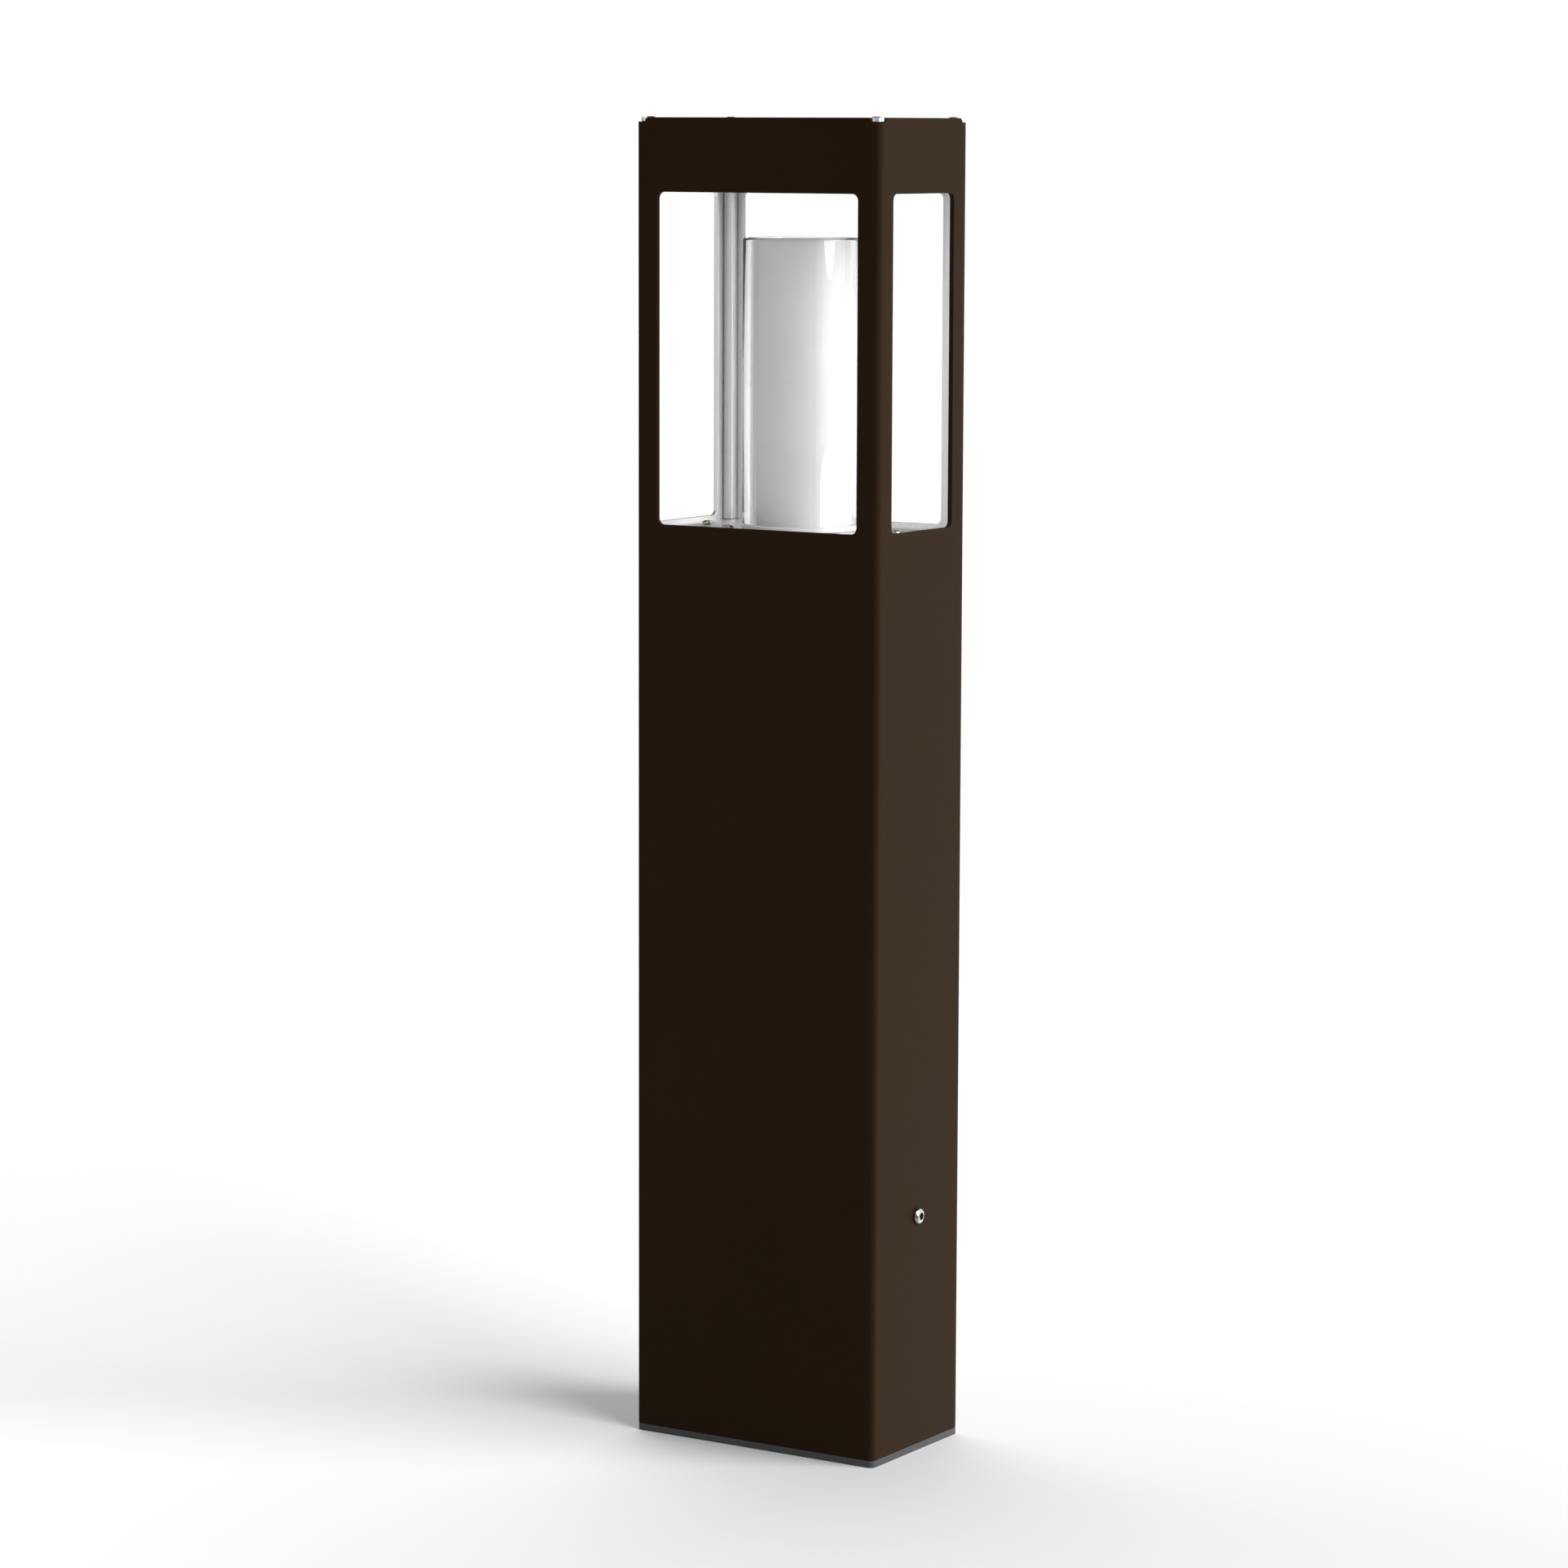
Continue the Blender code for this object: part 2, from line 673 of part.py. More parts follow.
def lampholder_shell():
    """The metal sleeve that takes the cap's thread."""
    outer = HOLDER_BORE - GAP
    bottom = HOLDER_FLOOR + 4 * MM
    return ring("lampholder_shell", outer - 0.6 * MM, outer, bottom, HOLDER_TOP - 3 * MM, nickelled_brass())


def lampholder_contact():
    profile = [(0, 3 * MM), (4 * MM, 3 * MM), (6 * MM, 0), (0, 0)]
    contact = turned("lampholder_contact", profile, nickelled_brass(), steps=16)
    contact.location = (0, 0, HOLDER_FLOOR + GAP)
    return contact


def grommet():
    """A rubber grommet in the shelf's hole, grooved round the plate's edge."""
    flange = 9 * MM
    neck = 6.7 * MM
    bore = LEAD_RADIUS + LEAD_CLEARANCE
    profile = [
        (flange, SHELF_TOP + GAP + 1.4 * MM),
        (flange, SHELF_TOP + GAP),
        (neck, SHELF_TOP + GAP),
        (neck, SHELF_UNDER - GAP),
        (flange, SHELF_UNDER - GAP),
        (flange, SHELF_UNDER - GAP - 1.6 * MM),
        (bore, SHELF_UNDER - GAP - 1.6 * MM),
        (bore, SHELF_TOP + GAP + 1.4 * MM),
    ]
    return turned("grommet", profile, dark_rubber(), steps=16, closed=True)


LAMP_BASE = HOLDER_FLOOR + GAP + 3 * MM + GAP
CAP_TOP = HOLDER_TOP + 1.5 * MM
GLOBE_BOTTOM = CAP_TOP + 30 * MM


def lamp_tip():
    """The insulator and centre contact at the bottom of the cap."""
    profile = [(0, 2.6 * MM), (9 * MM, 2.6 * MM), (5 * MM, 0.8 * MM), (4 * MM, 0), (0, 0)]
    tip = turned("lamp_tip", profile, black_plastic(), steps=16)
    tip.location = (0, 0, LAMP_BASE)
    return tip


def lamp_cap():
    """The screw cap, with rounded thread waves of the standard pitch."""
    bottom = LAMP_BASE + 2.6 * MM + GAP
    pitch = 3.5 * MM
    crest = CAP_RADIUS
    root = crest - 0.9 * MM
    profile = [(0, CAP_TOP), (crest, CAP_TOP), (crest, CAP_TOP - 5 * MM)]
    for turn in range(5):
        z = CAP_TOP - 5.6 * MM - turn * pitch
        profile += [(root, z - 0.25 * pitch), (crest, z - 0.75 * pitch)]
    profile += [(10 * MM, bottom), (0, bottom)]
    return turned("lamp_cap", profile, nickelled_brass(), steps=16)


def lamp_body():
    """The lamp's plastic neck, which holds its driver."""
    bottom = CAP_TOP + GAP
    profile = [
        (0, GLOBE_BOTTOM),
        (LAMP_RADIUS, GLOBE_BOTTOM),
        (LAMP_RADIUS, GLOBE_BOTTOM - 4 * MM),
        (CAP_RADIUS + 2.5 * MM, bottom + 5 * MM),
        (CAP_RADIUS + 0.8 * MM, bottom),
        (0, bottom),
    ]
    return turned("lamp_body", profile, white_plastic(), steps=24)


def lamp_globe():
    """The lamp's diffusing cover, a thin dome-ended sleeve open at the bottom."""
    outer = LAMP_RADIUS
    inner = outer - 1.2 * MM
    bottom = GLOBE_BOTTOM + GAP
    centre = (0, LAMP_TOP - outer)
    profile = arc(centre, outer, 90, 0, 5) + [(outer, bottom), (inner, bottom)]
    profile += arc(centre, inner, 0, 90, 5)
    profile[0] = (0, LAMP_TOP)
    profile[-1] = (0, LAMP_TOP - 1.2 * MM)
    return turned("lamp_globe", profile, opal_glass(), steps=24)


# ----------------------------------------------------------------------- lid


def lid_plate():
    """A flat plate with four ears that cover the notched corners."""
    edge_x = INNER_X - GAP
    edge_y = INNER_Y - GAP
    ear_x = WIDTH / 2 - EAR_INSET
    ear_y = DEPTH / 2 - EAR_INSET
    step_x = WIDTH / 2 - NOTCH_LENGTH + GAP
    step_y = DEPTH / 2 - NOTCH_LENGTH + GAP
    corner = [(edge_x, step_y), (ear_x, step_y)]
    corner += arc((ear_x - EAR_RADIUS, ear_y - EAR_RADIUS), EAR_RADIUS, 0, 90, 5)
    corner += [(step_x, ear_y), (step_x, edge_y)]
    outline = []
    for sign_x, sign_y in ((1, 1), (-1, 1), (-1, -1), (1, -1)):
        points = [(sign_x * x, sign_y * y) for x, y in corner]
        outline += points if sign_x * sign_y > 0 else points[::-1]
    holes = [circle(place, LID_HOLE_RADIUS, 12) for place in lid_screw_places()]
    lid = prism("lid_plate", [outline, *holes], RIM + GAP, HEIGHT, bare_aluminium())
    for index, place in enumerate(lid_screw_places()):
        recess = [circle(place, LID_HEAD_RADIUS + GAP, 14)]
        cut(lid, prism(f"lid_recess_{index}", recess, lid_recess_floor(), HEIGHT + 1 * MM))
    return lid


def lid_screw_places():
    return [(x * POST_X, y * POST_Y) for x in (-1, 1) for y in (-1, 1)]


def lid_recess_floor():
    return HEIGHT - 1.1 * MM


def lid_screw(index, place):
    """A raised-head screw with a hexagon socket, down into a corner post."""
    seat = lid_recess_floor() + GAP
    height = HEIGHT + LID_HEAD_RISE - seat
    name = f"lid_screw_{index}"
    screw = pan_screw(name, *place, seat, LID_HEAD_RADIUS, height, 1.5 * MM, 13 * MM, stainless())
    socket = prism(name + "_socket", [hexagon(2 * MM, place)], seat + 0.3 * MM, HEIGHT + 2 * MM)
    cut(screw, socket)
    return screw


# -------------------------------------------------------------- terminal box


BOX_FRONT = BOX_CENTRE.y - BOX_SIZE.y / 2
BOX_REAR = BOX_CENTRE.y + BOX_SIZE.y / 2
BOX_TOP = BOX_CENTRE.z + BOX_SIZE.z / 2
BOX_BASE = BOX_CENTRE.z - BOX_SIZE.z / 2
BOX_SCREWS = [
    (x * (BOX_SIZE.x / 2 - BOX_SIDE_WALL / 2), BOX_CENTRE.z + z * (BOX_SIZE.z / 2 - BOX_END_WALL / 2))
    for x in (-1, 1)
    for z in (-1, 1)
]


def cavity_outline():
    width = BOX_SIZE.x - 2 * BOX_SIDE_WALL
    height = BOX_SIZE.z - 2 * BOX_END_WALL
    return rounded_rectangle(width, height, 3 * MM, (0, BOX_CENTRE.z), steps=3)


def box_outline():
    return rounded_rectangle(BOX_SIZE.x, BOX_SIZE.z, 4 * MM, (0, BOX_CENTRE.z), steps=3)


def facing_front(name, loops, front, back, finish=None):
    """A prism of an outline in X and Z that runs from front to back along Y."""
    made = prism(name, loops, -back, -front, finish)
    made.data.transform(Matrix.Rotation(math.radians(90), 4, "X"))
    return made


def terminal_box():
    """A plastic box, open to the front, with a hole for each gland."""
    box = facing_front("terminal_box", [box_outline()], BOX_FRONT, BOX_REAR, grey_plastic())
    inside = facing_front("box_cavity", [cavity_outline()], BOX_FRONT - BOX_BACK, BOX_REAR - BOX_BACK)
    glands = [circle((x, BOX_CENTRE.y), 8.3 * MM, 20) for x in (-GLAND_X, GLAND_X)]
    low = prism("gland_hole_in", [glands[0]], BOX_BASE - BOX_BACK, BOX_CENTRE.z)
    high = prism("gland_hole_out", [glands[1]], BOX_CENTRE.z, BOX_TOP + BOX_BACK)
    earth = [circle((EARTH_STUD.x + 8 * MM, BOX_CENTRE.y), EARTH_LEAD_RADIUS + LEAD_CLEARANCE, 12)]
    cut(box, inside, low, high, prism("earth_lead_hole", earth, BOX_CENTRE.z, BOX_TOP + BOX_BACK))
    for index, place in enumerate(BOX_SCREWS):
        hole = [circle(place, BOX_HOLE_RADIUS, 12)]
        cut(box, facing_front(f"box_screw_hole_{index}", hole, BOX_FRONT - BOX_BACK, BOX_FRONT + 14 * MM))
    return box


def box_seal():
    """A flat seal between the box and its lid."""
    loops = [box_outline(), cavity_outline()]
    loops += [circle(place, BOX_HOLE_RADIUS, 12) for place in BOX_SCREWS]
    back = BOX_FRONT - GAP
    return facing_front("box_seal", loops, back - BOX_SEAL, back, dark_rubber())


def box_lid():
    holes = [circle(place, BOX_HOLE_RADIUS, 12) for place in BOX_SCREWS]
    back = BOX_FRONT - GAP - BOX_SEAL - GAP
    return facing_front("box_lid", [box_outline(), *holes], back - BOX_LID, back, grey_plastic())


def box_lid_screw(index, place):
    seat = BOX_FRONT - GAP - BOX_SEAL - GAP - BOX_LID - GAP
    screw = pan_screw(f"box_lid_screw_{index}", 0, 0, 0, 2.8 * MM, 1.6 * MM, 1.4 * MM, 15 * MM, stainless())
    return turn_to(screw, (place[0], seat, place[1]), (0, -1, 0))


def terminal_block():
    """A strip of screw terminals on the back of the box."""
    back = BOX_REAR - BOX_BACK - GAP
    front = back - 14 * MM
    low = (-30 * MM, front, BOX_CENTRE.z - 10 * MM)
    high = (30 * MM, back, BOX_CENTRE.z + 10 * MM)
    strip = block("terminal_block", low, high, white_plastic())
    ways = 5
    pitch = 11.5 * MM
    for way in range(ways):
        x = (way - (ways - 1) / 2) * pitch
        mouth = [circle((x, BOX_CENTRE.z), 2.2 * MM, 12)]
        cut(strip, facing_front(f"terminal_screw_{way}", mouth, front - 2 * MM, front + 8 * MM))
    return strip


def gland(name, x, seat, direction):
    """A cable gland: thread through the wall, hexagon flange and domed nut."""
    bore = LEAD_RADIUS + LEAD_CLEARANCE
    profile = [
        (bore, 17 * MM),
        (7 * MM, 17 * MM),
        (9.6 * MM, 13.5 * MM),
        (9.6 * MM, 7 * MM),
        (11 * MM, 7 * MM),
        (11 * MM, GAP),
        (8 * MM, GAP),
        (8 * MM, -BOX_END_WALL),
        (bore, -BOX_END_WALL),
    ]
    made = turned(name, profile, black_plastic(), steps=16, closed=True)
    return turn_to(made, (x, BOX_CENTRE.y, seat), (0, 0, direction))


def box_bracket():
    """A steel angle, welded under the shelf, that carries the box on its back."""
    top = SHELF_UNDER - GAP
    face = BOX_REAR + GAP
    profile = [
        (face, BOX_BASE + 10 * MM),
        (face + BRACKET_THICKNESS, BOX_BASE + 10 * MM),
        (face + BRACKET_THICKNESS, top),
        (face - 14 * MM, top),
        (face - 14 * MM, top - BRACKET_THICKNESS),
        (face, top - BRACKET_THICKNESS),
    ]
    bracket = prism("box_bracket", [profile], -25 * MM, 25 * MM, galvanised())
    bracket.data.transform(Matrix(((0, 0, 1, 0), (1, 0, 0, 0), (0, 1, 0, 0), (0, 0, 0, 1))))
    return bracket


def lamp_lead():
    """The cable from the upper gland through the grommet to the lampholder."""
    start = BOX_TOP - BOX_END_WALL
    knots = [
        (GLAND_X, BOX_CENTRE.y, start),
        (GLAND_X, BOX_CENTRE.y, BOX_TOP + 20 * MM),
        (GLAND_X * 0.8, BOX_CENTRE.y * 0.9, BOX_TOP + 32 * MM),
        (GLAND_X * 0.15, BOX_CENTRE.y * 0.2, SHELF_UNDER - 18 * MM),
        (0, 0, SHELF_UNDER - 6 * MM),
        (0, 0, HOLDER_BOTTOM + 6 * MM),
    ]
    return tube("lamp_lead", smooth_path(knots, 4), LEAD_RADIUS, cable_jacket())


def earth_stud():
    """A stud through the shelf, with its head on top."""
    x, y = EARTH_STUD.xy
    return pan_screw("earth_stud", x, y, SHELF_TOP + GAP, 3.6 * MM, 1.8 * MM, 2 * MM, 16 * MM, stainless())


def earth_nut():
    loops = [hexagon(7 * MM, EARTH_STUD.xy), circle(EARTH_STUD.xy, EARTH_HOLE_RADIUS, 12)]
    top = SHELF_UNDER - GAP - 1 * MM - GAP
    return prism("earth_nut", loops, top - 3 * MM, top, nickelled_brass())


def earth_lug():
    """A ring tag, clamped by the nut, with a barrel for the lead."""
    x, y = EARTH_STUD.xy
    tail_end = y + 14 * MM
    rim = arc((x, y), 4 * MM, 145, 395, 10)
    outline = [*rim, (x + 1.6 * MM, tail_end), (x - 1.6 * MM, tail_end)]
    top = SHELF_UNDER - GAP
    loops = [outline, circle((x, y), EARTH_HOLE_RADIUS, 12)]
    return prism("earth_lug", loops, top - 1 * MM, top, nickelled_brass())


def earth_lead():
    """The green and yellow lead from the tag down into the terminal box."""
    x, y = EARTH_STUD.xy
    start = SHELF_UNDER - GAP - 1 * MM - GAP - EARTH_LEAD_RADIUS
    drop_x = x + 8 * MM
    knots = [
        (x, y + 11 * MM, start),
        (x, y + 18 * MM, start - 2 * MM),
        (x + 4 * MM, BOX_CENTRE.y - 3 * MM, start - 14 * MM),
        (drop_x, BOX_CENTRE.y, BOX_TOP + 14 * MM),
        (drop_x, BOX_CENTRE.y, BOX_TOP - BOX_END_WALL),
    ]
    return tube("earth_lead", smooth_path(knots, 4), EARTH_LEAD_RADIUS, earth_sleeve())


# ------------------------------------------------------------------ assembly


def build_ground():
    pieces = [base_gasket(), anchor_plate(), anchor_arm(-1), anchor_arm(1)]
    return pieces + [arm_bolt(index + 1, place) for index, place in enumerate(ARM_BOLTS)]


def build_column():
    corners = {"fl": (-1, -1), "fr": (1, -1), "bl": (-1, 1), "br": (1, 1)}
    pieces = [column_shell()]
    pieces += [corner_post(f"corner_post_{key}", *signs) for key, signs in corners.items()]
    pieces += [shelf_plate(), glass_gasket(), glass_seat(), grommet()]
    pieces += [lampholder_bracket(), lampholder_body(), lampholder_shell(), lampholder_contact()]
    for side in (-1, 1):
        pieces += [shelf_bracket(side), shelf_screw(side), side_screw(side), clamp_nut(side)]
        pieces.append(lampholder_screw(side))
    pieces += [box_bracket(), terminal_box(), box_seal(), box_lid(), terminal_block()]
    pieces += [box_lid_screw(index + 1, place) for index, place in enumerate(BOX_SCREWS)]
    pieces += [gland("gland_in", -GLAND_X, BOX_BASE, -1), gland("gland_out", GLAND_X, BOX_TOP, 1)]
    pieces += [lamp_lead(), earth_stud(), earth_lug(), earth_nut(), earth_lead()]
    return pieces


def build_lid():
    return [lid_plate()] + [lid_screw(index + 1, place) for index, place in enumerate(lid_screw_places())]


def build():
    """Makes each moving body's pieces and hangs them from an empty on its joint's axis."""
    ground = frame_empty("ground_base_frame", (0, 0, 0))
    column = frame_empty("column_frame", (0, 0, BASE_STRIP), ground)
    lid = frame_empty("lid_frame", (0, 0, RIM), column)
    diffuser = frame_empty("diffuser_frame", (0, 0, GLASS_BOTTOM), column)
    lamp = frame_empty("lamp_frame", (0, 0, LAMP_BASE), column)
    bodies = {
        ground: build_ground(),
        column: build_column(),
        lid: build_lid(),
        diffuser: [diffuser_glass(), diffuser_opal()],
        lamp: [lamp_tip(), lamp_cap(), lamp_body(), lamp_globe()],
    }
    for parent, pieces in bodies.items():
        for piece in pieces:
            attach(piece, parent)


build()
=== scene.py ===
# %% [markdown]
# A rectangular bollard light, finished around its mechanical model.
#
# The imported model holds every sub-part at its real size and place. This script is the finishing shop:
# it gives each part its surface and its soft edges, and it makes fresh, fine meshes for the parts that
# the eye lands on, such as the painted column, the glass and the screws. Nothing is moved or resized.

# %% Load the model
import json

import bmesh
import bpy
import numpy as np
from mathutils import Matrix, Vector


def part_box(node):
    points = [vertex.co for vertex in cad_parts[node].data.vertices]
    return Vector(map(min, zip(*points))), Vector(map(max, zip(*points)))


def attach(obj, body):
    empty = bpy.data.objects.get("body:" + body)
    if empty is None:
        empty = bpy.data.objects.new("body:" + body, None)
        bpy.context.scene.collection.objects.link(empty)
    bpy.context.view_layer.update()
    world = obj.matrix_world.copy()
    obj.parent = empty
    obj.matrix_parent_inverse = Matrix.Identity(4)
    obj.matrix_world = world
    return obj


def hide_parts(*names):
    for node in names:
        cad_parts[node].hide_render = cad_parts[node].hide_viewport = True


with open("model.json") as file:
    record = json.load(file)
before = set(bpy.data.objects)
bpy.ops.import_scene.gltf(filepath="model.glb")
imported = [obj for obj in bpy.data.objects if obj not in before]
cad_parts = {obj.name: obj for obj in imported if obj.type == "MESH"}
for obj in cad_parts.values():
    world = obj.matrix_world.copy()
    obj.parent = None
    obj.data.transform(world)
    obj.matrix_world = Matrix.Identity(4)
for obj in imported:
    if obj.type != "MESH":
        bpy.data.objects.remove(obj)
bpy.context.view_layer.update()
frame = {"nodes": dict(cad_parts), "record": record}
scene = bpy.context.scene
MM = 0.001

# %% [markdown]
# The camera stands a little to the right of the front and just under the column's top, far away with
# a long lens, so the verticals stay almost parallel. Its place is given as a compass bearing and a
# distance from the column's axis, which is easier to picture than three coordinates.

# %% Camera
BEARING = 32.24
DISTANCE = 3.0270
CAMERA_HEIGHT = 0.7941
TURN = 32.416
TILT_DOWN = 7.403
ROLL = 0.196
LENS = 115.99

camera_data = bpy.data.cameras.new("camera")
camera_data.lens = LENS
camera_data.sensor_width = 36
camera_data.clip_end = 60
camera = bpy.data.objects.new("camera", camera_data)
scene.collection.objects.link(camera)
bearing = np.radians(BEARING)
camera.matrix_world = (
    Matrix.Translation((DISTANCE * np.sin(bearing), -DISTANCE * np.cos(bearing), CAMERA_HEIGHT))
    @ Matrix.Rotation(np.radians(TURN), 4, "Z")
    @ Matrix.Rotation(np.radians(90 - TILT_DOWN), 4, "X")
    @ Matrix.Rotation(np.radians(ROLL), 4, "Z")
)
scene.camera = camera
scene.view_settings.view_transform = "Standard"
print("camera at", [round(x, 3) for x in camera.matrix_world.translation])

# %% [markdown]
# The studio is a white floor under a white background. The main light is a broad one, low on the right,
# wide enough that its shadow is soft from the start. It is a sun lamp with a large angle, because a
# sun lights the floor evenly however far it reaches. A second one, steep and from behind, leaves the
# soft dark patch in front of the column's foot. Mirrors don't see it, or the lid would glare.
#
# The background is white to the eye and through glass. Matt surfaces get only a dim room, so that the
# wide face reads almost black-brown. Mirrors see a dark studio with a few soft glows, which is what
# gives polished steel its contrast. A glow has a direction, the cosine of the angle from it where it
# starts, the cosine where it is full, and a strength.

# %% Floor, background and lights
FLOOR_SIZE = 30
FLOOR_CELLS = 16
FLOOR_WHITE = 0.77
# Painted light: the floor glows for the camera only. The glow is nothing near a point in front of the column
# and full further out, so the far floor melts into the white and the front stays darker.
PAINTED_FLOOR_GLOW = 0.09
DIM_CENTRE = (0.25, -0.25, 0)
DIM_REACH, GLOW_REACH = 0.30, 0.65
BACKGROUND_WHITE = 1.02
KEY_STRENGTH = 4.6
KEY_ELEVATION, KEY_BEARING, KEY_SPREAD = 32, 1, 56
BACK_STRENGTH = 1.65
BACK_ELEVATION, BACK_BEARING, BACK_SPREAD = 50, 135, 60
ROOM_LIGHT = 0.06
MIRROR_DARK = 0.22
MIRROR_GLOWS = [
    ("bright_side", (0.53, 0.84, -0.1), 0.4, 0.95, 1.6),
    ("softbox", (0.39, -0.445, 0.79), 0.93, 0.95, 1.6),
    ("near_wall", (-0.60, -0.79, -0.1), 0.3, 0.95, 0.52),
    ("floor_below", (0, 0, -1), 0.35, 0.6, 0.45),
]


def node_tree(owner):
    """Turns on the owner's nodes and returns its emptied tree."""
    owner.use_nodes = True
    owner.node_tree.nodes.clear()
    return owner.node_tree


def add_node(tree, kind, **values):
    """Adds a node and sets its properties. Capitalised names are sockets, with _ for a space."""
    made = tree.nodes.new(kind)
    for name, value in values.items():
        if name[0].isupper():
            made.inputs[name.replace("_", " ")].default_value = value
        else:
            setattr(made, name, value)
    return made


def sun_light(name, elevation, bearing, spread, strength):
    """A distant light. Its bearing is in degrees from +X towards +Y, its spread is its apparent width."""
    data = bpy.data.lights.new(name, "SUN")
    data.energy = strength
    data.angle = np.radians(spread)
    sun = bpy.data.objects.new(name, data)
    scene.collection.objects.link(sun)
    up, around = np.radians(elevation), np.radians(bearing)
    toward = Vector((np.cos(up) * np.cos(around), np.cos(up) * np.sin(around), np.sin(up)))
    sun.rotation_euler = toward.to_track_quat("Z", "Y").to_euler()
    return sun


def floor_piece():
    """A plain square at height zero, as a grid of equal cells."""
    row = FLOOR_CELLS + 1
    side = np.linspace(-FLOOR_SIZE / 2, FLOOR_SIZE / 2, row)
    x, y = np.meshgrid(side, side, indexing="ij")
    points = np.stack([x, y, np.zeros_like(x)], -1).reshape(-1, 3)
    corner = np.arange(FLOOR_CELLS * row).reshape(FLOOR_CELLS, row)[:, :-1].ravel()
    faces = np.stack([corner, corner + row, corner + row + 1, corner + 1], 1)
    mesh = bpy.data.meshes.new("floor")
    mesh.from_pydata(points.tolist(), [], faces.tolist())
    floor = bpy.data.objects.new("floor", mesh)
    scene.collection.objects.link(floor)
    return floor


def smooth_fade(tree, value, start, full, strength):
    """Zero up to the start, then a smooth rise that reaches the strength at full."""
    fade = add_node(
        tree, "ShaderNodeMapRange", interpolation_type="SMOOTHSTEP",
        From_Min=start, From_Max=full, To_Max=strength,
    )
    tree.links.new(value, fade.inputs["Value"])
    return fade.outputs["Result"]


def floor_finish():
    """Matt white, with painted light: a glow for the camera that grows away from the dim front, to melt into
    the white.
    """
    finish = bpy.data.materials.new("studio_floor")
    tree = node_tree(finish)
    output = add_node(tree, "ShaderNodeOutputMaterial")
    shader = add_node(
        tree, "ShaderNodeBsdfPrincipled", Base_Color=(FLOOR_WHITE, FLOOR_WHITE, FLOOR_WHITE, 1),
        Roughness=0.9, Specular_IOR_Level=0.0, Emission_Color=(1, 1, 1, 1),
    )
    where = add_node(tree, "ShaderNodeTexCoord")
    length = add_node(tree, "ShaderNodeVectorMath", operation="DISTANCE")
    length.inputs[1].default_value = DIM_CENTRE
    path = add_node(tree, "ShaderNodeLightPath")
    seen = add_node(tree, "ShaderNodeMath", operation="MULTIPLY")
    tree.links.new(where.outputs["Object"], length.inputs[0])
    glow = smooth_fade(tree, length.outputs["Value"], DIM_REACH, GLOW_REACH, PAINTED_FLOOR_GLOW)
    tree.links.new(glow, seen.inputs[0])
    tree.links.new(path.outputs["Is Camera Ray"], seen.inputs[1])
    tree.links.new(seen.outputs[0], shader.inputs["Emission Strength"])
    tree.links.new(shader.outputs[0], output.inputs["Surface"])
    return finish


def mirror_glow(tree, direction, start, full, strength):
    """Light that a mirror sees toward one direction, faded in by the cosine of the angle from it."""
    where = add_node(tree, "ShaderNodeTexCoord")
    cosine = add_node(tree, "ShaderNodeVectorMath", operation="DOT_PRODUCT")
    cosine.inputs[1].default_value = Vector(direction).normalized()
    tree.links.new(where.outputs["Generated"], cosine.inputs[0])
    return smooth_fade(tree, cosine.outputs["Value"], start, full, strength)


def studio_world():
    """White to the eye and to glass, a dim room to matt surfaces, and a dark studio with glows to mirrors."""
    world = bpy.data.worlds.new("studio")
    scene.world = world
    tree = node_tree(world)
    output = add_node(tree, "ShaderNodeOutputWorld")
    path = add_node(tree, "ShaderNodeLightPath")
    either = add_node(tree, "ShaderNodeMath", operation="MAXIMUM")
    white = add_node(tree, "ShaderNodeBackground", Color=(1, 1, 1, 1), Strength=BACKGROUND_WHITE)
    mirror = add_node(tree, "ShaderNodeBackground", Color=(1, 1, 1, 1))
    room = add_node(tree, "ShaderNodeBackground", Color=(0.97, 0.98, 1, 1), Strength=ROOM_LIGHT)
    total = None
    for label, direction, start, full, strength in MIRROR_GLOWS:
        added = add_node(tree, "ShaderNodeMath", operation="ADD", label=label)
        added.inputs[0].default_value = MIRROR_DARK
        if total:
            tree.links.new(total, added.inputs[0])
        tree.links.new(mirror_glow(tree, direction, start, full, strength), added.inputs[1])
        total = added.outputs[0]
    tree.links.new(total, mirror.inputs["Strength"])
    glossy = add_node(tree, "ShaderNodeMixShader")
    direct = add_node(tree, "ShaderNodeMixShader")
    tree.links.new(path.outputs["Is Camera Ray"], either.inputs[0])
    tree.links.new(path.outputs["Is Transmission Ray"], either.inputs[1])
    tree.links.new(path.outputs["Is Glossy Ray"], glossy.inputs["Fac"])
    tree.links.new(room.outputs[0], glossy.inputs[1])
    tree.links.new(mirror.outputs[0], glossy.inputs[2])
    tree.links.new(either.outputs[0], direct.inputs["Fac"])
    tree.links.new(glossy.outputs[0], direct.inputs[1])
    tree.links.new(white.outputs[0], direct.inputs[2])
    tree.links.new(direct.outputs[0], output.inputs["Surface"])


studio_world()
floor = floor_piece()
floor.data.materials.append(floor_finish())
floor.visible_glossy = False
sun_light("key", KEY_ELEVATION, KEY_BEARING, KEY_SPREAD, KEY_STRENGTH)
back_light = sun_light("back", BACK_ELEVATION, BACK_BEARING, BACK_SPREAD, BACK_STRENGTH)
back_light.visible_glossy = False
print("stage: floor and two broad lights")

# %% [markdown]
# Surface effects that several finishes share are node groups, built once. Each one reads Object
# coordinates in metres, so its pattern has a real size. Fine tooth is the sand-like skin of powder
# coat or moulded plastic, rolled grain is the faint one-way streak of rolled or drawn metal, and
# cloudiness is the slow change in tone that keeps a large face from looking like one flat colour.

# %% Shared effects


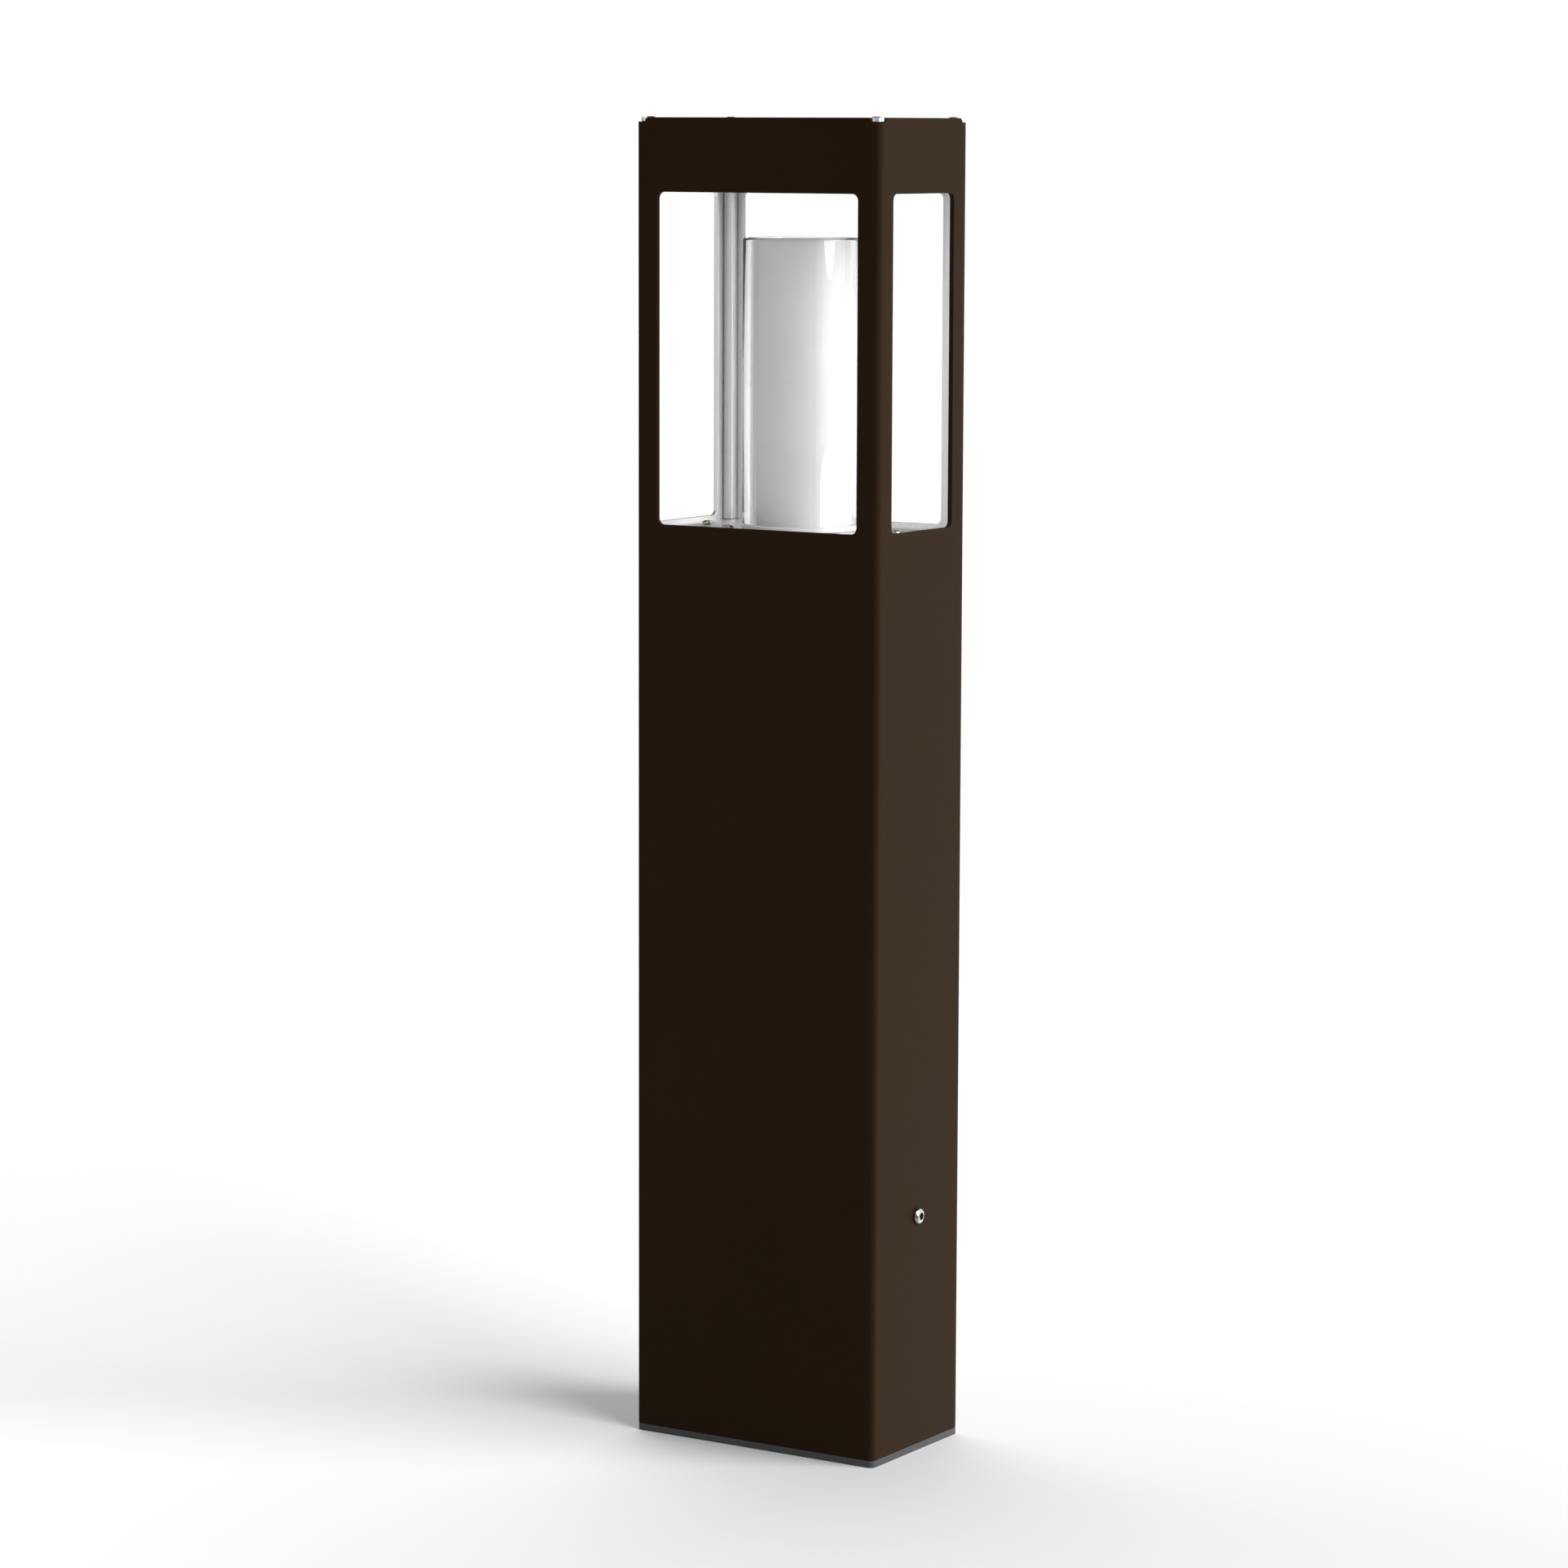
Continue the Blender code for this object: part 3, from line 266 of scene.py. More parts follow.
def effect_group(name, inputs, outputs):
    """An empty node group with named inputs and outputs, and its two end nodes."""
    group = bpy.data.node_groups.new(name, "ShaderNodeTree")
    for label, kind, default in inputs:
        socket = group.interface.new_socket(label, in_out="INPUT", socket_type=kind)
        socket.default_value = default
    for label, kind in outputs:
        group.interface.new_socket(label, in_out="OUTPUT", socket_type=kind)
    return group, group.nodes.new("NodeGroupInput"), group.nodes.new("NodeGroupOutput")


def fine_tooth_group():
    """Noise at a set grain size gives a height, and a slower noise gives a tone mask."""
    group, start, end = effect_group(
        "fine_tooth",
        [("Grain Per Metre", "NodeSocketFloat", 2500.0), ("Cloud Per Metre", "NodeSocketFloat", 14.0)],
        [("Height", "NodeSocketFloat"), ("Cloud", "NodeSocketFloat")],
    )
    where = group.nodes.new("ShaderNodeTexCoord")
    grain = add_node(group, "ShaderNodeTexNoise", noise_dimensions="3D", Detail=3)
    cloud = add_node(group, "ShaderNodeTexNoise", noise_dimensions="3D", Detail=4)
    group.links.new(where.outputs["Object"], grain.inputs["Vector"])
    group.links.new(where.outputs["Object"], cloud.inputs["Vector"])
    group.links.new(start.outputs["Grain Per Metre"], grain.inputs["Scale"])
    group.links.new(start.outputs["Cloud Per Metre"], cloud.inputs["Scale"])
    group.links.new(grain.outputs["Fac"], end.inputs["Height"])
    group.links.new(cloud.outputs["Fac"], end.inputs["Cloud"])
    return group


def rolled_grain_group():
    """Noise stretched a hundred times along the rolling direction, for streaks in tone and height."""
    group, start, end = effect_group(
        "rolled_grain",
        [("Direction", "NodeSocketVector", (1.0, 1.0, 0.01)), ("Lines Per Metre", "NodeSocketFloat", 1600.0)],
        [("Streak", "NodeSocketFloat"), ("Cloud", "NodeSocketFloat")],
    )
    where = group.nodes.new("ShaderNodeTexCoord")
    squeeze = add_node(group, "ShaderNodeVectorMath", operation="MULTIPLY")
    lines = add_node(group, "ShaderNodeTexNoise", noise_dimensions="3D", Detail=4)
    cloud = add_node(group, "ShaderNodeTexNoise", noise_dimensions="3D", Scale=22, Detail=3)
    group.links.new(where.outputs["Object"], squeeze.inputs[0])
    group.links.new(start.outputs["Direction"], squeeze.inputs[1])
    group.links.new(squeeze.outputs[0], lines.inputs["Vector"])
    group.links.new(start.outputs["Lines Per Metre"], lines.inputs["Scale"])
    group.links.new(where.outputs["Object"], cloud.inputs["Vector"])
    group.links.new(lines.outputs["Fac"], end.inputs["Streak"])
    group.links.new(cloud.outputs["Fac"], end.inputs["Cloud"])
    return group


def tone_group():
    """Blends two tones by a mask and gives a roughness between two limits from the same mask."""
    group, start, end = effect_group(
        "two_tones",
        [
            ("Mask", "NodeSocketFloat", 0.5),
            ("Dark Tone", "NodeSocketColor", (0, 0, 0, 1)),
            ("Light Tone", "NodeSocketColor", (1, 1, 1, 1)),
            ("Smooth", "NodeSocketFloat", 0.3),
            ("Rough", "NodeSocketFloat", 0.5),
        ],
        [("Color", "NodeSocketColor"), ("Roughness", "NodeSocketFloat")],
    )
    spread = add_node(
        group, "ShaderNodeMapRange", interpolation_type="SMOOTHSTEP", From_Min=0.3, From_Max=0.7
    )
    mix = add_node(group, "ShaderNodeMix", data_type="RGBA")
    rough = group.nodes.new("ShaderNodeMapRange")
    group.links.new(start.outputs["Mask"], spread.inputs["Value"])
    group.links.new(spread.outputs["Result"], mix.inputs["Factor"])
    group.links.new(start.outputs["Dark Tone"], mix.inputs[6])
    group.links.new(start.outputs["Light Tone"], mix.inputs[7])
    group.links.new(spread.outputs["Result"], rough.inputs["Value"])
    group.links.new(start.outputs["Smooth"], rough.inputs["To Min"])
    group.links.new(start.outputs["Rough"], rough.inputs["To Max"])
    group.links.new(mix.outputs[2], end.inputs["Color"])
    group.links.new(rough.outputs["Result"], end.inputs["Roughness"])
    return group


FINE_TOOTH = fine_tooth_group()
ROLLED_GRAIN = rolled_grain_group()
TWO_TONES = tone_group()
print("effect groups", [group.name for group in bpy.data.node_groups])

# %% [markdown]
# Every finish is a Principled shader fed by those groups. `toothed` makes the coated and moulded
# finishes, `streaked` the bare metals. Both take two tones and two limits of roughness, then the size
# of the pattern, so that the list of finishes reads like a swatch card.

# %% Finishes


def group_node(tree, group, **sockets):
    """Places a shared effect in a material, with its own values."""
    made = tree.nodes.new("ShaderNodeGroup")
    made.node_tree = group
    for name, value in sockets.items():
        made.inputs[name.replace("_", " ")].default_value = value
    return made


def new_finish(name, **sockets):
    """A material with one Principled shader, whose plain sockets are set by name."""
    finish = bpy.data.materials.new(name)
    tree = node_tree(finish)
    output = tree.nodes.new("ShaderNodeOutputMaterial")
    shader = tree.nodes.new("ShaderNodeBsdfPrincipled")
    tree.links.new(shader.outputs[0], output.inputs["Surface"])
    for socket, value in sockets.items():
        shader.inputs[socket.replace("_", " ")].default_value = value
    return finish, tree, shader


def raise_height(tree, shader, height, depth):
    """Feeds a height into the shader's normal, with its depth in metres."""
    bump = tree.nodes.new("ShaderNodeBump")
    bump.inputs["Strength"].default_value = 1.0
    bump.inputs["Distance"].default_value = depth
    tree.links.new(height, bump.inputs["Height"])
    tree.links.new(bump.outputs[0], shader.inputs["Normal"])


def feed_tones(tree, shader, mask, dark, light, smooth, rough):
    """Gives the shader a colour between two tones and a roughness between two limits, both by the mask."""
    tones = group_node(
        tree, TWO_TONES, Dark_Tone=(*dark, 1), Light_Tone=(*light, 1), Smooth=smooth, Rough=rough
    )
    tree.links.new(mask, tones.inputs["Mask"])
    tree.links.new(tones.outputs["Color"], shader.inputs["Base Color"])
    tree.links.new(tones.outputs["Roughness"], shader.inputs["Roughness"])


def toothed(name, dark, light, smooth, rough, grain=2500.0, cloud=14.0, depth=0.00002, **sockets):
    """Powder coat, rubber or moulded plastic: fine tooth in the height, slow clouds in the tone."""
    finish, tree, shader = new_finish(name, **sockets)
    tooth = group_node(tree, FINE_TOOTH, Grain_Per_Metre=grain, Cloud_Per_Metre=cloud)
    feed_tones(tree, shader, tooth.outputs["Cloud"], dark, light, smooth, rough)
    raise_height(tree, shader, tooth.outputs["Height"], depth)
    return finish


def streaked(
    name, dark, light, smooth, rough, direction=(1, 1, 0.01), lines=1600.0, depth=0.000004, **sockets
):
    """Bare metal: one-way streaks in tone, roughness and height."""
    finish, tree, shader = new_finish(name, Metallic=1.0, **sockets)
    grain = group_node(tree, ROLLED_GRAIN, Direction=direction, Lines_Per_Metre=lines)
    feed_tones(tree, shader, grain.outputs["Streak"], dark, light, smooth, rough)
    raise_height(tree, shader, grain.outputs["Streak"], depth)
    return finish


BROWN = toothed(
    "brown_powder_coat", (0.0187, 0.0096, 0.0036), (0.0203, 0.0105, 0.0041), 0.46, 0.52,
    grain=2600, cloud=9, depth=0.000018, Specular_IOR_Level=0.027, Sheen_Weight=0.006, Sheen_Roughness=0.45,
)
INSIDE = streaked("aluminium_inside", (0.74, 0.74, 0.74), (0.84, 0.84, 0.84), 0.36, 0.46)
ALUMINIUM = streaked(
    "bare_aluminium", (0.68, 0.69, 0.70), (0.80, 0.81, 0.82), 0.30, 0.42, direction=(0.01, 1, 1)
)
POST_ALUMINIUM = streaked("drawn_aluminium", (0.78, 0.78, 0.78), (0.88, 0.88, 0.88), 0.36, 0.46)
STAINLESS = streaked(
    "stainless_steel", (0.35, 0.33, 0.315), (0.42, 0.40, 0.385), 0.04, 0.09, direction=(1, 1, 1), lines=900,
    depth=0.000001,
)
# Painted shade: a near-black steel for the inside of the screw sockets, standing in for the shade in the
# recess.
SOCKET_PAINTED_SHADE = streaked(
    "socket_painted_shade", (0.05, 0.045, 0.042), (0.08, 0.072, 0.068), 0.35, 0.5, direction=(1, 1, 1), lines=900
)
GALVANISED = streaked(
    "galvanised_steel", (0.30, 0.31, 0.32), (0.44, 0.455, 0.47), 0.36, 0.55, direction=(1, 1, 1), lines=160
)
NICKEL = streaked(
    "nickelled_brass", (0.66, 0.60, 0.48), (0.74, 0.69, 0.58), 0.18, 0.28, direction=(1, 1, 1), lines=700
)
RUBBER = toothed("dark_rubber", (0.030, 0.030, 0.031), (0.040, 0.040, 0.041), 0.62, 0.75, grain=1800)
SILICONE = toothed(
    "pale_silicone", (0.72, 0.72, 0.70), (0.80, 0.80, 0.79), 0.40, 0.52, grain=900,
    Subsurface_Weight=0.2, Subsurface_Scale=0.002,
)
CERAMIC = toothed(
    "glazed_ceramic", (0.80, 0.78, 0.73), (0.86, 0.84, 0.80), 0.12, 0.20, grain=260, depth=0.00003,
    Coat_Weight=0.4, Coat_Roughness=0.06,
)
WHITE_PLASTIC = toothed("white_plastic", (0.80, 0.80, 0.79), (0.86, 0.86, 0.85), 0.32, 0.42, grain=1500)
BLACK_PLASTIC = toothed("black_plastic", (0.014, 0.014, 0.014), (0.022, 0.022, 0.022), 0.40, 0.52)
GREY_PLASTIC = toothed("grey_plastic", (0.36, 0.37, 0.38), (0.43, 0.44, 0.45), 0.42, 0.54, grain=1400)
JACKET = toothed("cable_jacket", (0.018, 0.018, 0.019), (0.028, 0.028, 0.029), 0.48, 0.60, grain=1600)
print("finishes so far", len(bpy.data.materials))

# %% [markdown]
# Glass keeps a plain transmission. The clear wall is slightly uneven, as drawn tube is, and the
# opal sleeve behind it is milky: a little of the light soaks in before it comes back out.

# %% Glass and the striped earth sleeve


def clear_glass():
    """Clear glass that lets light rays straight through, so that what stands inside is lit cleanly."""
    finish, tree, shader = new_finish(
        "clear_glass", Base_Color=(1, 1, 1, 1), Transmission_Weight=1.0, IOR=1.47, Roughness=0.0
    )
    tooth = group_node(tree, FINE_TOOTH, Grain_Per_Metre=9, Cloud_Per_Metre=20)
    raise_height(tree, shader, tooth.outputs["Height"], 0.000004)
    output = next(node for node in tree.nodes if node.type == "OUTPUT_MATERIAL")
    path = add_node(tree, "ShaderNodeLightPath")
    unseen = add_node(tree, "ShaderNodeMath", operation="MAXIMUM")
    through = add_node(tree, "ShaderNodeBsdfTransparent", Color=(0.93, 0.94, 0.94, 1))
    mix = add_node(tree, "ShaderNodeMixShader")
    tree.links.new(path.outputs["Is Shadow Ray"], unseen.inputs[0])
    tree.links.new(path.outputs["Is Diffuse Ray"], unseen.inputs[1])
    tree.links.new(unseen.outputs[0], mix.inputs["Fac"])
    tree.links.new(shader.outputs[0], mix.inputs[1])
    tree.links.new(through.outputs[0], mix.inputs[2])
    tree.links.new(mix.outputs[0], output.inputs["Surface"])
    return finish


def opal_glass():
    """Milky glass: a plain white body with a little scattering under a satin skin."""
    return toothed(
        "opal_glass", (0.80, 0.80, 0.80), (0.83, 0.83, 0.83), 0.30, 0.38, grain=120, cloud=30,
        depth=0.00001, Subsurface_Weight=0.1, Subsurface_Scale=0.001,
    )


def earth_sleeve():
    """Green with yellow bands that cross the lead on the slant: a wave along the diagonal, cut by a ramp."""
    finish, tree, shader = new_finish("earth_sleeve", Roughness=0.45)
    where = tree.nodes.new("ShaderNodeTexCoord")
    stripes = add_node(tree, "ShaderNodeTexWave", wave_type="BANDS", bands_direction="DIAGONAL", Scale=90)
    ramp = tree.nodes.new("ShaderNodeValToRGB")
    ramp.color_ramp.elements[0].position = 0.45
    ramp.color_ramp.elements[0].color = (0.03, 0.22, 0.03, 1)
    ramp.color_ramp.elements[1].position = 0.5
    ramp.color_ramp.elements[1].color = (0.75, 0.55, 0.02, 1)
    tree.links.new(where.outputs["Object"], stripes.inputs["Vector"])
    tree.links.new(stripes.outputs["Fac"], ramp.inputs["Fac"])
    tree.links.new(ramp.outputs["Color"], shader.inputs["Base Color"])
    tooth = group_node(tree, FINE_TOOTH, Grain_Per_Metre=1600)
    raise_height(tree, shader, tooth.outputs["Height"], 0.00001)
    return finish


CLEAR = clear_glass()
OPAL = opal_glass()
EARTH = earth_sleeve()
print("finishes", sorted(finish.name for finish in bpy.data.materials))

# %% [markdown]
# New meshes are grids of points. A patch is an array of rows and columns of points, and a piece is a
# list of patches that meet exactly, so merging the shared points closes it. The fillet helper rounds
# the corners of an outline, which is all that plates, tubes and turned profiles need.

# %% Mesh helpers


def fillet(corners, closed=False, steps=6):
    """Rounds each corner (x, y, radius) with an arc tangent to its two sides.

    The arc's centre lies on the corner's bisector, radius / sin(half angle) away, and its points are the
    two tangent directions blended by equal angles.
    """
    corners = np.array(corners, float)
    count = len(corners)
    points = []
    for i, (x, y, radius) in enumerate(corners):
        here = np.array([x, y])
        if radius <= 0 or (not closed and i in (0, count - 1)):
            points.append(here[None])
            continue
        back = corners[i - 1][:2] - here
        ahead = corners[(i + 1) % count][:2] - here
        back, ahead = back / np.linalg.norm(back), ahead / np.linalg.norm(ahead)
        half = np.arccos(np.clip(back @ ahead, -1, 1)) / 2
        bisector = (back + ahead) / np.linalg.norm(back + ahead)
        centre = here + bisector * radius / np.sin(half)
        first = here + back * radius / np.tan(half) - centre
        last = here + ahead * radius / np.tan(half) - centre
        sweep = np.pi - 2 * half
        share = np.linspace(0, 1, steps + 1)[:, None]
        arc = first * np.sin((1 - share) * sweep) + last * np.sin(share * sweep)
        points.append(centre + arc / np.sin(sweep))
    return np.concatenate(points)


def turn_profile(profile, sides):
    """Carries a profile of (radius, height) round the Z axis: x and y are radius times cosine and sine."""
    angle = np.linspace(0, 2 * np.pi, sides + 1)
    radius, height = np.asarray(profile, float).T
    x = np.cos(angle)[:, None] * radius[None]
    y = np.sin(angle)[:, None] * radius[None]
    return np.stack([x, y, np.broadcast_to(height, x.shape)], -1)


def closed_row(points):
    """Repeats the first point at the end."""
    return np.concatenate([points, points[:1]])


def grid_quads(rows, columns, first):
    """Four-sided faces between neighbouring rows and columns, for points numbered from first."""
    corner = (np.arange(rows - 1)[:, None] * columns + np.arange(columns - 1)[None]).ravel() + first
    return np.stack([corner, corner + 1, corner + columns + 1, corner + columns], 1)


def build_mesh(name, patches, finishes, sharp=32.0):
    """Joins patches (points, finish number) into one closed mesh with normals out."""
    points, quads, slots, first = [], [], [], 0
    for grid, slot in patches:
        rows, columns = grid.shape[:2]
        points.append(grid.reshape(-1, 3))
        faces = grid_quads(rows, columns, first)
        quads.append(faces)
        slots.append(np.full(len(faces), slot))
        first += rows * columns
    points, quads, slots = np.concatenate(points), np.concatenate(quads), np.concatenate(slots)
    mesh = bpy.data.meshes.new(name)
    mesh.vertices.add(len(points))
    mesh.vertices.foreach_set("co", points.astype(np.float32).ravel())
    mesh.loops.add(quads.size)
    mesh.loops.foreach_set("vertex_index", quads.ravel().astype(np.int32))
    mesh.polygons.add(len(quads))
    mesh.polygons.foreach_set("loop_start", (np.arange(len(quads)) * 4).astype(np.int32))
    mesh.polygons.foreach_set("material_index", slots.astype(np.int32))
    for finish in finishes:
        mesh.materials.append(finish)
    mesh.update(calc_edges=True)
    shape = bmesh.new()
    shape.from_mesh(mesh)
    bmesh.ops.remove_doubles(shape, verts=shape.verts, dist=1e-6)
    bmesh.ops.dissolve_degenerate(shape, edges=shape.edges, dist=1e-7)
    bmesh.ops.recalc_face_normals(shape, faces=shape.faces)
    loose = sum(1 for edge in shape.edges if len(edge.link_faces) != 2)
    shape.to_mesh(mesh)
    shape.free()
    mesh.shade_smooth()
    mesh.set_sharp_from_angle(angle=np.radians(sharp))
    print(f"{name}: {len(mesh.polygons)} faces, {loose} open edges")
    return mesh


def soften(piece, width, segments=3, angle=32.0):
    """A small round on every sharp edge, which is what catches the light on a real part."""
    edge = piece.modifiers.new("soft_edges", "BEVEL")
    edge.width = width
    edge.segments = segments
    edge.limit_method = "ANGLE"
    edge.angle_limit = np.radians(angle)
    edge.harden_normals = True


def place_piece(name, mesh, body, nodes):
    """Links the piece, lets it ride on its body and stand for its nodes."""
    piece = bpy.data.objects.new(name, mesh)
    scene.collection.objects.link(piece)
    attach(piece, body)
    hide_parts(*nodes)
    return piece


# %% [markdown]
# The column is one extruded tube with a window cut in each face and a tab along each top edge. It
# could be a box with cutters, but cut faces shade badly and bevel worse. Here the tube is laid out in
# patches instead: each window sits in a ring of quads between its own outline and the face's edge, plain
# strips fill the corners and the long lower part, and low strips make the tabs. The same layout drawn
# twice, at the outer and at the inner size, gives both skins, and bridging their borders gives the
# wall's thickness.

# %% Column shell: measures from the frame
shell_low, shell_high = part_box("column_shell")
HALF_X, HALF_Y = shell_high.x, shell_high.y
WALL = 3 * MM
OUTER_RADIUS = 3.5 * MM
INNER_RADIUS = 0.8 * MM
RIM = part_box("corner_post_fr")[1].z
TOP = shell_high.z
BOTTOM = shell_low.z
MIDDLE = 300 * MM
WINDOW_LOW, WINDOW_HIGH = 558 * MM, 756 * MM
WINDOW_RADIUS = 4 * MM
WIDE_WINDOW = HALF_X - 15 * MM
NARROW_WINDOW = HALF_Y - 15.5 * MM
PANEL_MARGIN = 14 * MM
PANEL_LOW, PANEL_HIGH = WINDOW_LOW - PANEL_MARGIN, WINDOW_HIGH + PANEL_MARGIN
TAB_START = 6.2 * MM
TAB_ROUND = TOP - RIM
ARC_STEPS = 8
print("shell", [round(v / MM, 2) for v in (*shell_low, *shell_high)])


# %% Column shell: patches
TAB_TURN = np.linspace(np.pi / 2, 0, 4)
TAB_HEIGHTS = RIM + TAB_ROUND * np.sin(TAB_TURN)
LOW_CORNER = np.linspace(PANEL_LOW, WINDOW_LOW + WINDOW_RADIUS, 5)
HIGH_CORNER = np.linspace(WINDOW_HIGH - WINDOW_RADIUS, PANEL_HIGH, 5)


def tab_marks(half):
    """Places along a face where its tab's rounded end has points, from the middle outwards.

    The end is a quarter circle: its x is start minus round times one minus cosine.
    """
    return half - TAB_START - TAB_ROUND * (1 - np.cos(TAB_TURN))


def face_stations(half, flat):
    """The places across a face that every strip shares."""
    marks = np.append(tab_marks(half), flat)
    return np.concatenate([-marks[::-1], marks])


def level_points(across, height):
    """Points of (across, height) along one level."""
    return np.stack([across, np.full(len(across), height)], 1)


def upright_points(place, heights):
    """Points of (across, height) up one vertical."""
    return np.stack([np.full(len(heights), place), heights], 1)


def window_ring(half, flat, window):
    """The flat panel round a window, as rows from the window's outline to the panel's border.

    Both outlines have the same number of points: a quarter circle at each window corner goes with an
    L of the border, and the rows between blend the two linearly.
    """
    inner = fillet(
        [
            (window, WINDOW_LOW, WINDOW_RADIUS),
            (window, WINDOW_HIGH, WINDOW_RADIUS),
            (-window, WINDOW_HIGH, WINDOW_RADIUS),
            (-window, WINDOW_LOW, WINDOW_RADIUS),
        ],
        closed=True,
        steps=ARC_STEPS,
    )
    marks = np.append(tab_marks(half), flat)
    border = np.concatenate(
        [
            level_points(marks, PANEL_LOW), upright_points(flat, LOW_CORNER[1:]),
            upright_points(flat, HIGH_CORNER), level_points(marks[::-1][1:], PANEL_HIGH),
            level_points(-marks, PANEL_HIGH), upright_points(-flat, HIGH_CORNER[::-1][1:]),
            upright_points(-flat, LOW_CORNER[::-1]), level_points(-marks[::-1][1:], PANEL_LOW),
        ]
    )
    share = np.linspace(0, 1, 4)[:, None, None]
    rows = inner[None] * (1 - share) + border[None] * share
    return np.concatenate([rows, rows[:, :1]], 1)


def stand_up(flat_points, side, half_x, half_y):
    """Puts (across, height) points on one of the four faces, going round anticlockwise from the front."""
    across, height = flat_points[..., 0], flat_points[..., 1]
    far = np.ones_like(across)
    columns = {
        "front": (across, -half_y * far),
        "right": (half_x * far, across),
        "back": (-across, half_y * far),
        "left": (-half_x * far, -across),
    }[side]
    return np.stack([*columns, height], -1)


def corner_arc(side, half_x, half_y, radius):
    """The quarter circle that follows a face, going round anticlockwise."""
    start, sign_x, sign_y = {
        "front": (-90, 1, -1), "right": (0, 1, 1), "back": (90, -1, 1), "left": (180, -1, -1)
    }[side]
    turn = np.radians(start + np.linspace(0, 90, ARC_STEPS + 1))
    x = sign_x * (half_x - radius) + radius * np.cos(turn)
    y = sign_y * (half_y - radius) + radius * np.sin(turn)
    return np.stack([x, y], 1)


def strip(path, heights):
    """A plan path carried straight up through the given heights."""
    heights = np.asarray(heights)
    plan = np.broadcast_to(path[None], (len(heights), *path.shape))
    level = np.broadcast_to(heights[:, None, None], (len(heights), len(path), 1))
    return np.concatenate([plan, level], -1)


SIDES = {
    "front": (HALF_X, WIDE_WINDOW), "right": (HALF_Y, NARROW_WINDOW),
    "back": (HALF_X, WIDE_WINDOW), "left": (HALF_Y, NARROW_WINDOW),
}
LOWER_LEVELS = np.concatenate([np.linspace(BOTTOM, MIDDLE, 4), [PANEL_LOW]])
UPPER_LEVELS = [PANEL_HIGH, RIM]
PANEL_LEVELS = np.concatenate([LOW_CORNER, HIGH_CORNER])


def skin(inset, radius):
    """One skin of the tube: its patches, its four window rims, its foot and its top edge."""
    half_x, half_y = HALF_X - inset, HALF_Y - inset
    patches, rims, foot, crest = [], {}, [], []
    for side, (half, window) in SIDES.items():
        flat = half - inset - radius
        stations = face_stations(half, flat)
        ring = stand_up(window_ring(half, flat, window), side, half_x, half_y)
        patches.append(ring)
        rims[side] = ring[0]
        plan = stand_up(level_points(stations, 0.0), side, half_x, half_y)[:, :2]
        arc = corner_arc(side, half_x, half_y, radius)
        patches += [strip(plan, LOWER_LEVELS), strip(plan, UPPER_LEVELS)]
        patches += [strip(arc, LOWER_LEVELS), strip(arc, UPPER_LEVELS), strip(arc, PANEL_LEVELS)]
        low_edge = strip(plan, [RIM])[0]
        high_edge = low_edge.copy()
        high_edge[:, 2] = np.concatenate([[RIM], TAB_HEIGHTS[::-1], TAB_HEIGHTS, [RIM]])
        patches.append(np.stack([low_edge, high_edge]))
        foot += [strip(plan, [BOTTOM])[0], strip(arc, [BOTTOM])[0]]
        crest += [high_edge, strip(arc, [RIM])[0]]
    return patches, rims, np.concatenate(foot), np.concatenate(crest)


def column_mesh():
    """Both skins, a bridge round each window, and the foot and top edges between them."""
    outer, outer_rims, outer_foot, outer_crest = skin(0.0, OUTER_RADIUS)
    inner, inner_rims, inner_foot, inner_crest = skin(WALL, INNER_RADIUS)
    patches = [(grid, 0) for grid in outer] + [(grid, 1) for grid in inner]
    for side in SIDES:
        bridge = np.stack([outer_rims[side], inner_rims[side]])
        # Painted light and shade: the returns of the front and right windows take the brown, and those of the
        # back and left windows take the bare aluminium. This split by side stands in for how they are lit in
        # this view.
        patches.append((bridge, 0 if side in ("front", "right") else 1))
    patches.append((np.stack([closed_row(outer_foot), closed_row(inner_foot)]), 0))
    patches.append((np.stack([closed_row(outer_crest), closed_row(inner_crest)]), 0))
    return build_mesh("column", patches, [BROWN, INSIDE])


column = place_piece("column", column_mesh(), "column", ["column_shell"])
soften(column, 0.35 * MM)

# %% [markdown]
# The lantern glass is a clear tube with an opal sleeve standing inside it. Both are turned profiles
# with rounded rims. The air gap between the two is real, and it is what makes the bright clear band
# along the tube's edge: light that meets the inner wall at a slant is thrown back out.

# %% Glass tube, opal sleeve and gasket


def box_profile(inner, outer, low, high, rounds):
    """A closed rectangular section from (inner, low) to (outer, high), each corner with its own round.

    Rounds go bottom inside, bottom outside, top outside, top inside.
    """
    corners = [
        (inner, low, rounds[0]), (outer, low, rounds[1]),
        (outer, high, rounds[2]), (inner, high, rounds[3]),
    ]
    return closed_row(fillet(corners, closed=True, steps=5))


def turned_piece(name, profile, finish, body, nodes, sides=96):
    """A profile turned round the column's axis, as one piece."""
    mesh = build_mesh(name, [(turn_profile(profile, sides), 0)], [finish])
    return place_piece(name, mesh, body, nodes)


glass_low, glass_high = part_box("diffuser_glass")
opal_low, opal_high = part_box("diffuser_opal")
gasket_low, gasket_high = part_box("glass_gasket")
GLASS_ROUNDS = np.array([0.3, 0.6, 1.2, 0.3]) * MM
OPAL_RADIUS = opal_high.y
OPAL_WALL = 1.6 * MM
OPAL_BORE = OPAL_RADIUS - OPAL_WALL
OPAL_CEILING = opal_high.z - OPAL_WALL
CLEAR_INNER = OPAL_RADIUS + 0.3 * MM
GASKET_BORE = CLEAR_INNER - 2.6 * MM
GASKET_ROUNDS = np.full(4, 0.5 * MM)

glass_profile = box_profile(CLEAR_INNER, glass_high.y, glass_low.z, glass_high.z, GLASS_ROUNDS)
turned_piece("lantern_glass", glass_profile, CLEAR, "diffuser", ["diffuser_glass"], sides=160)

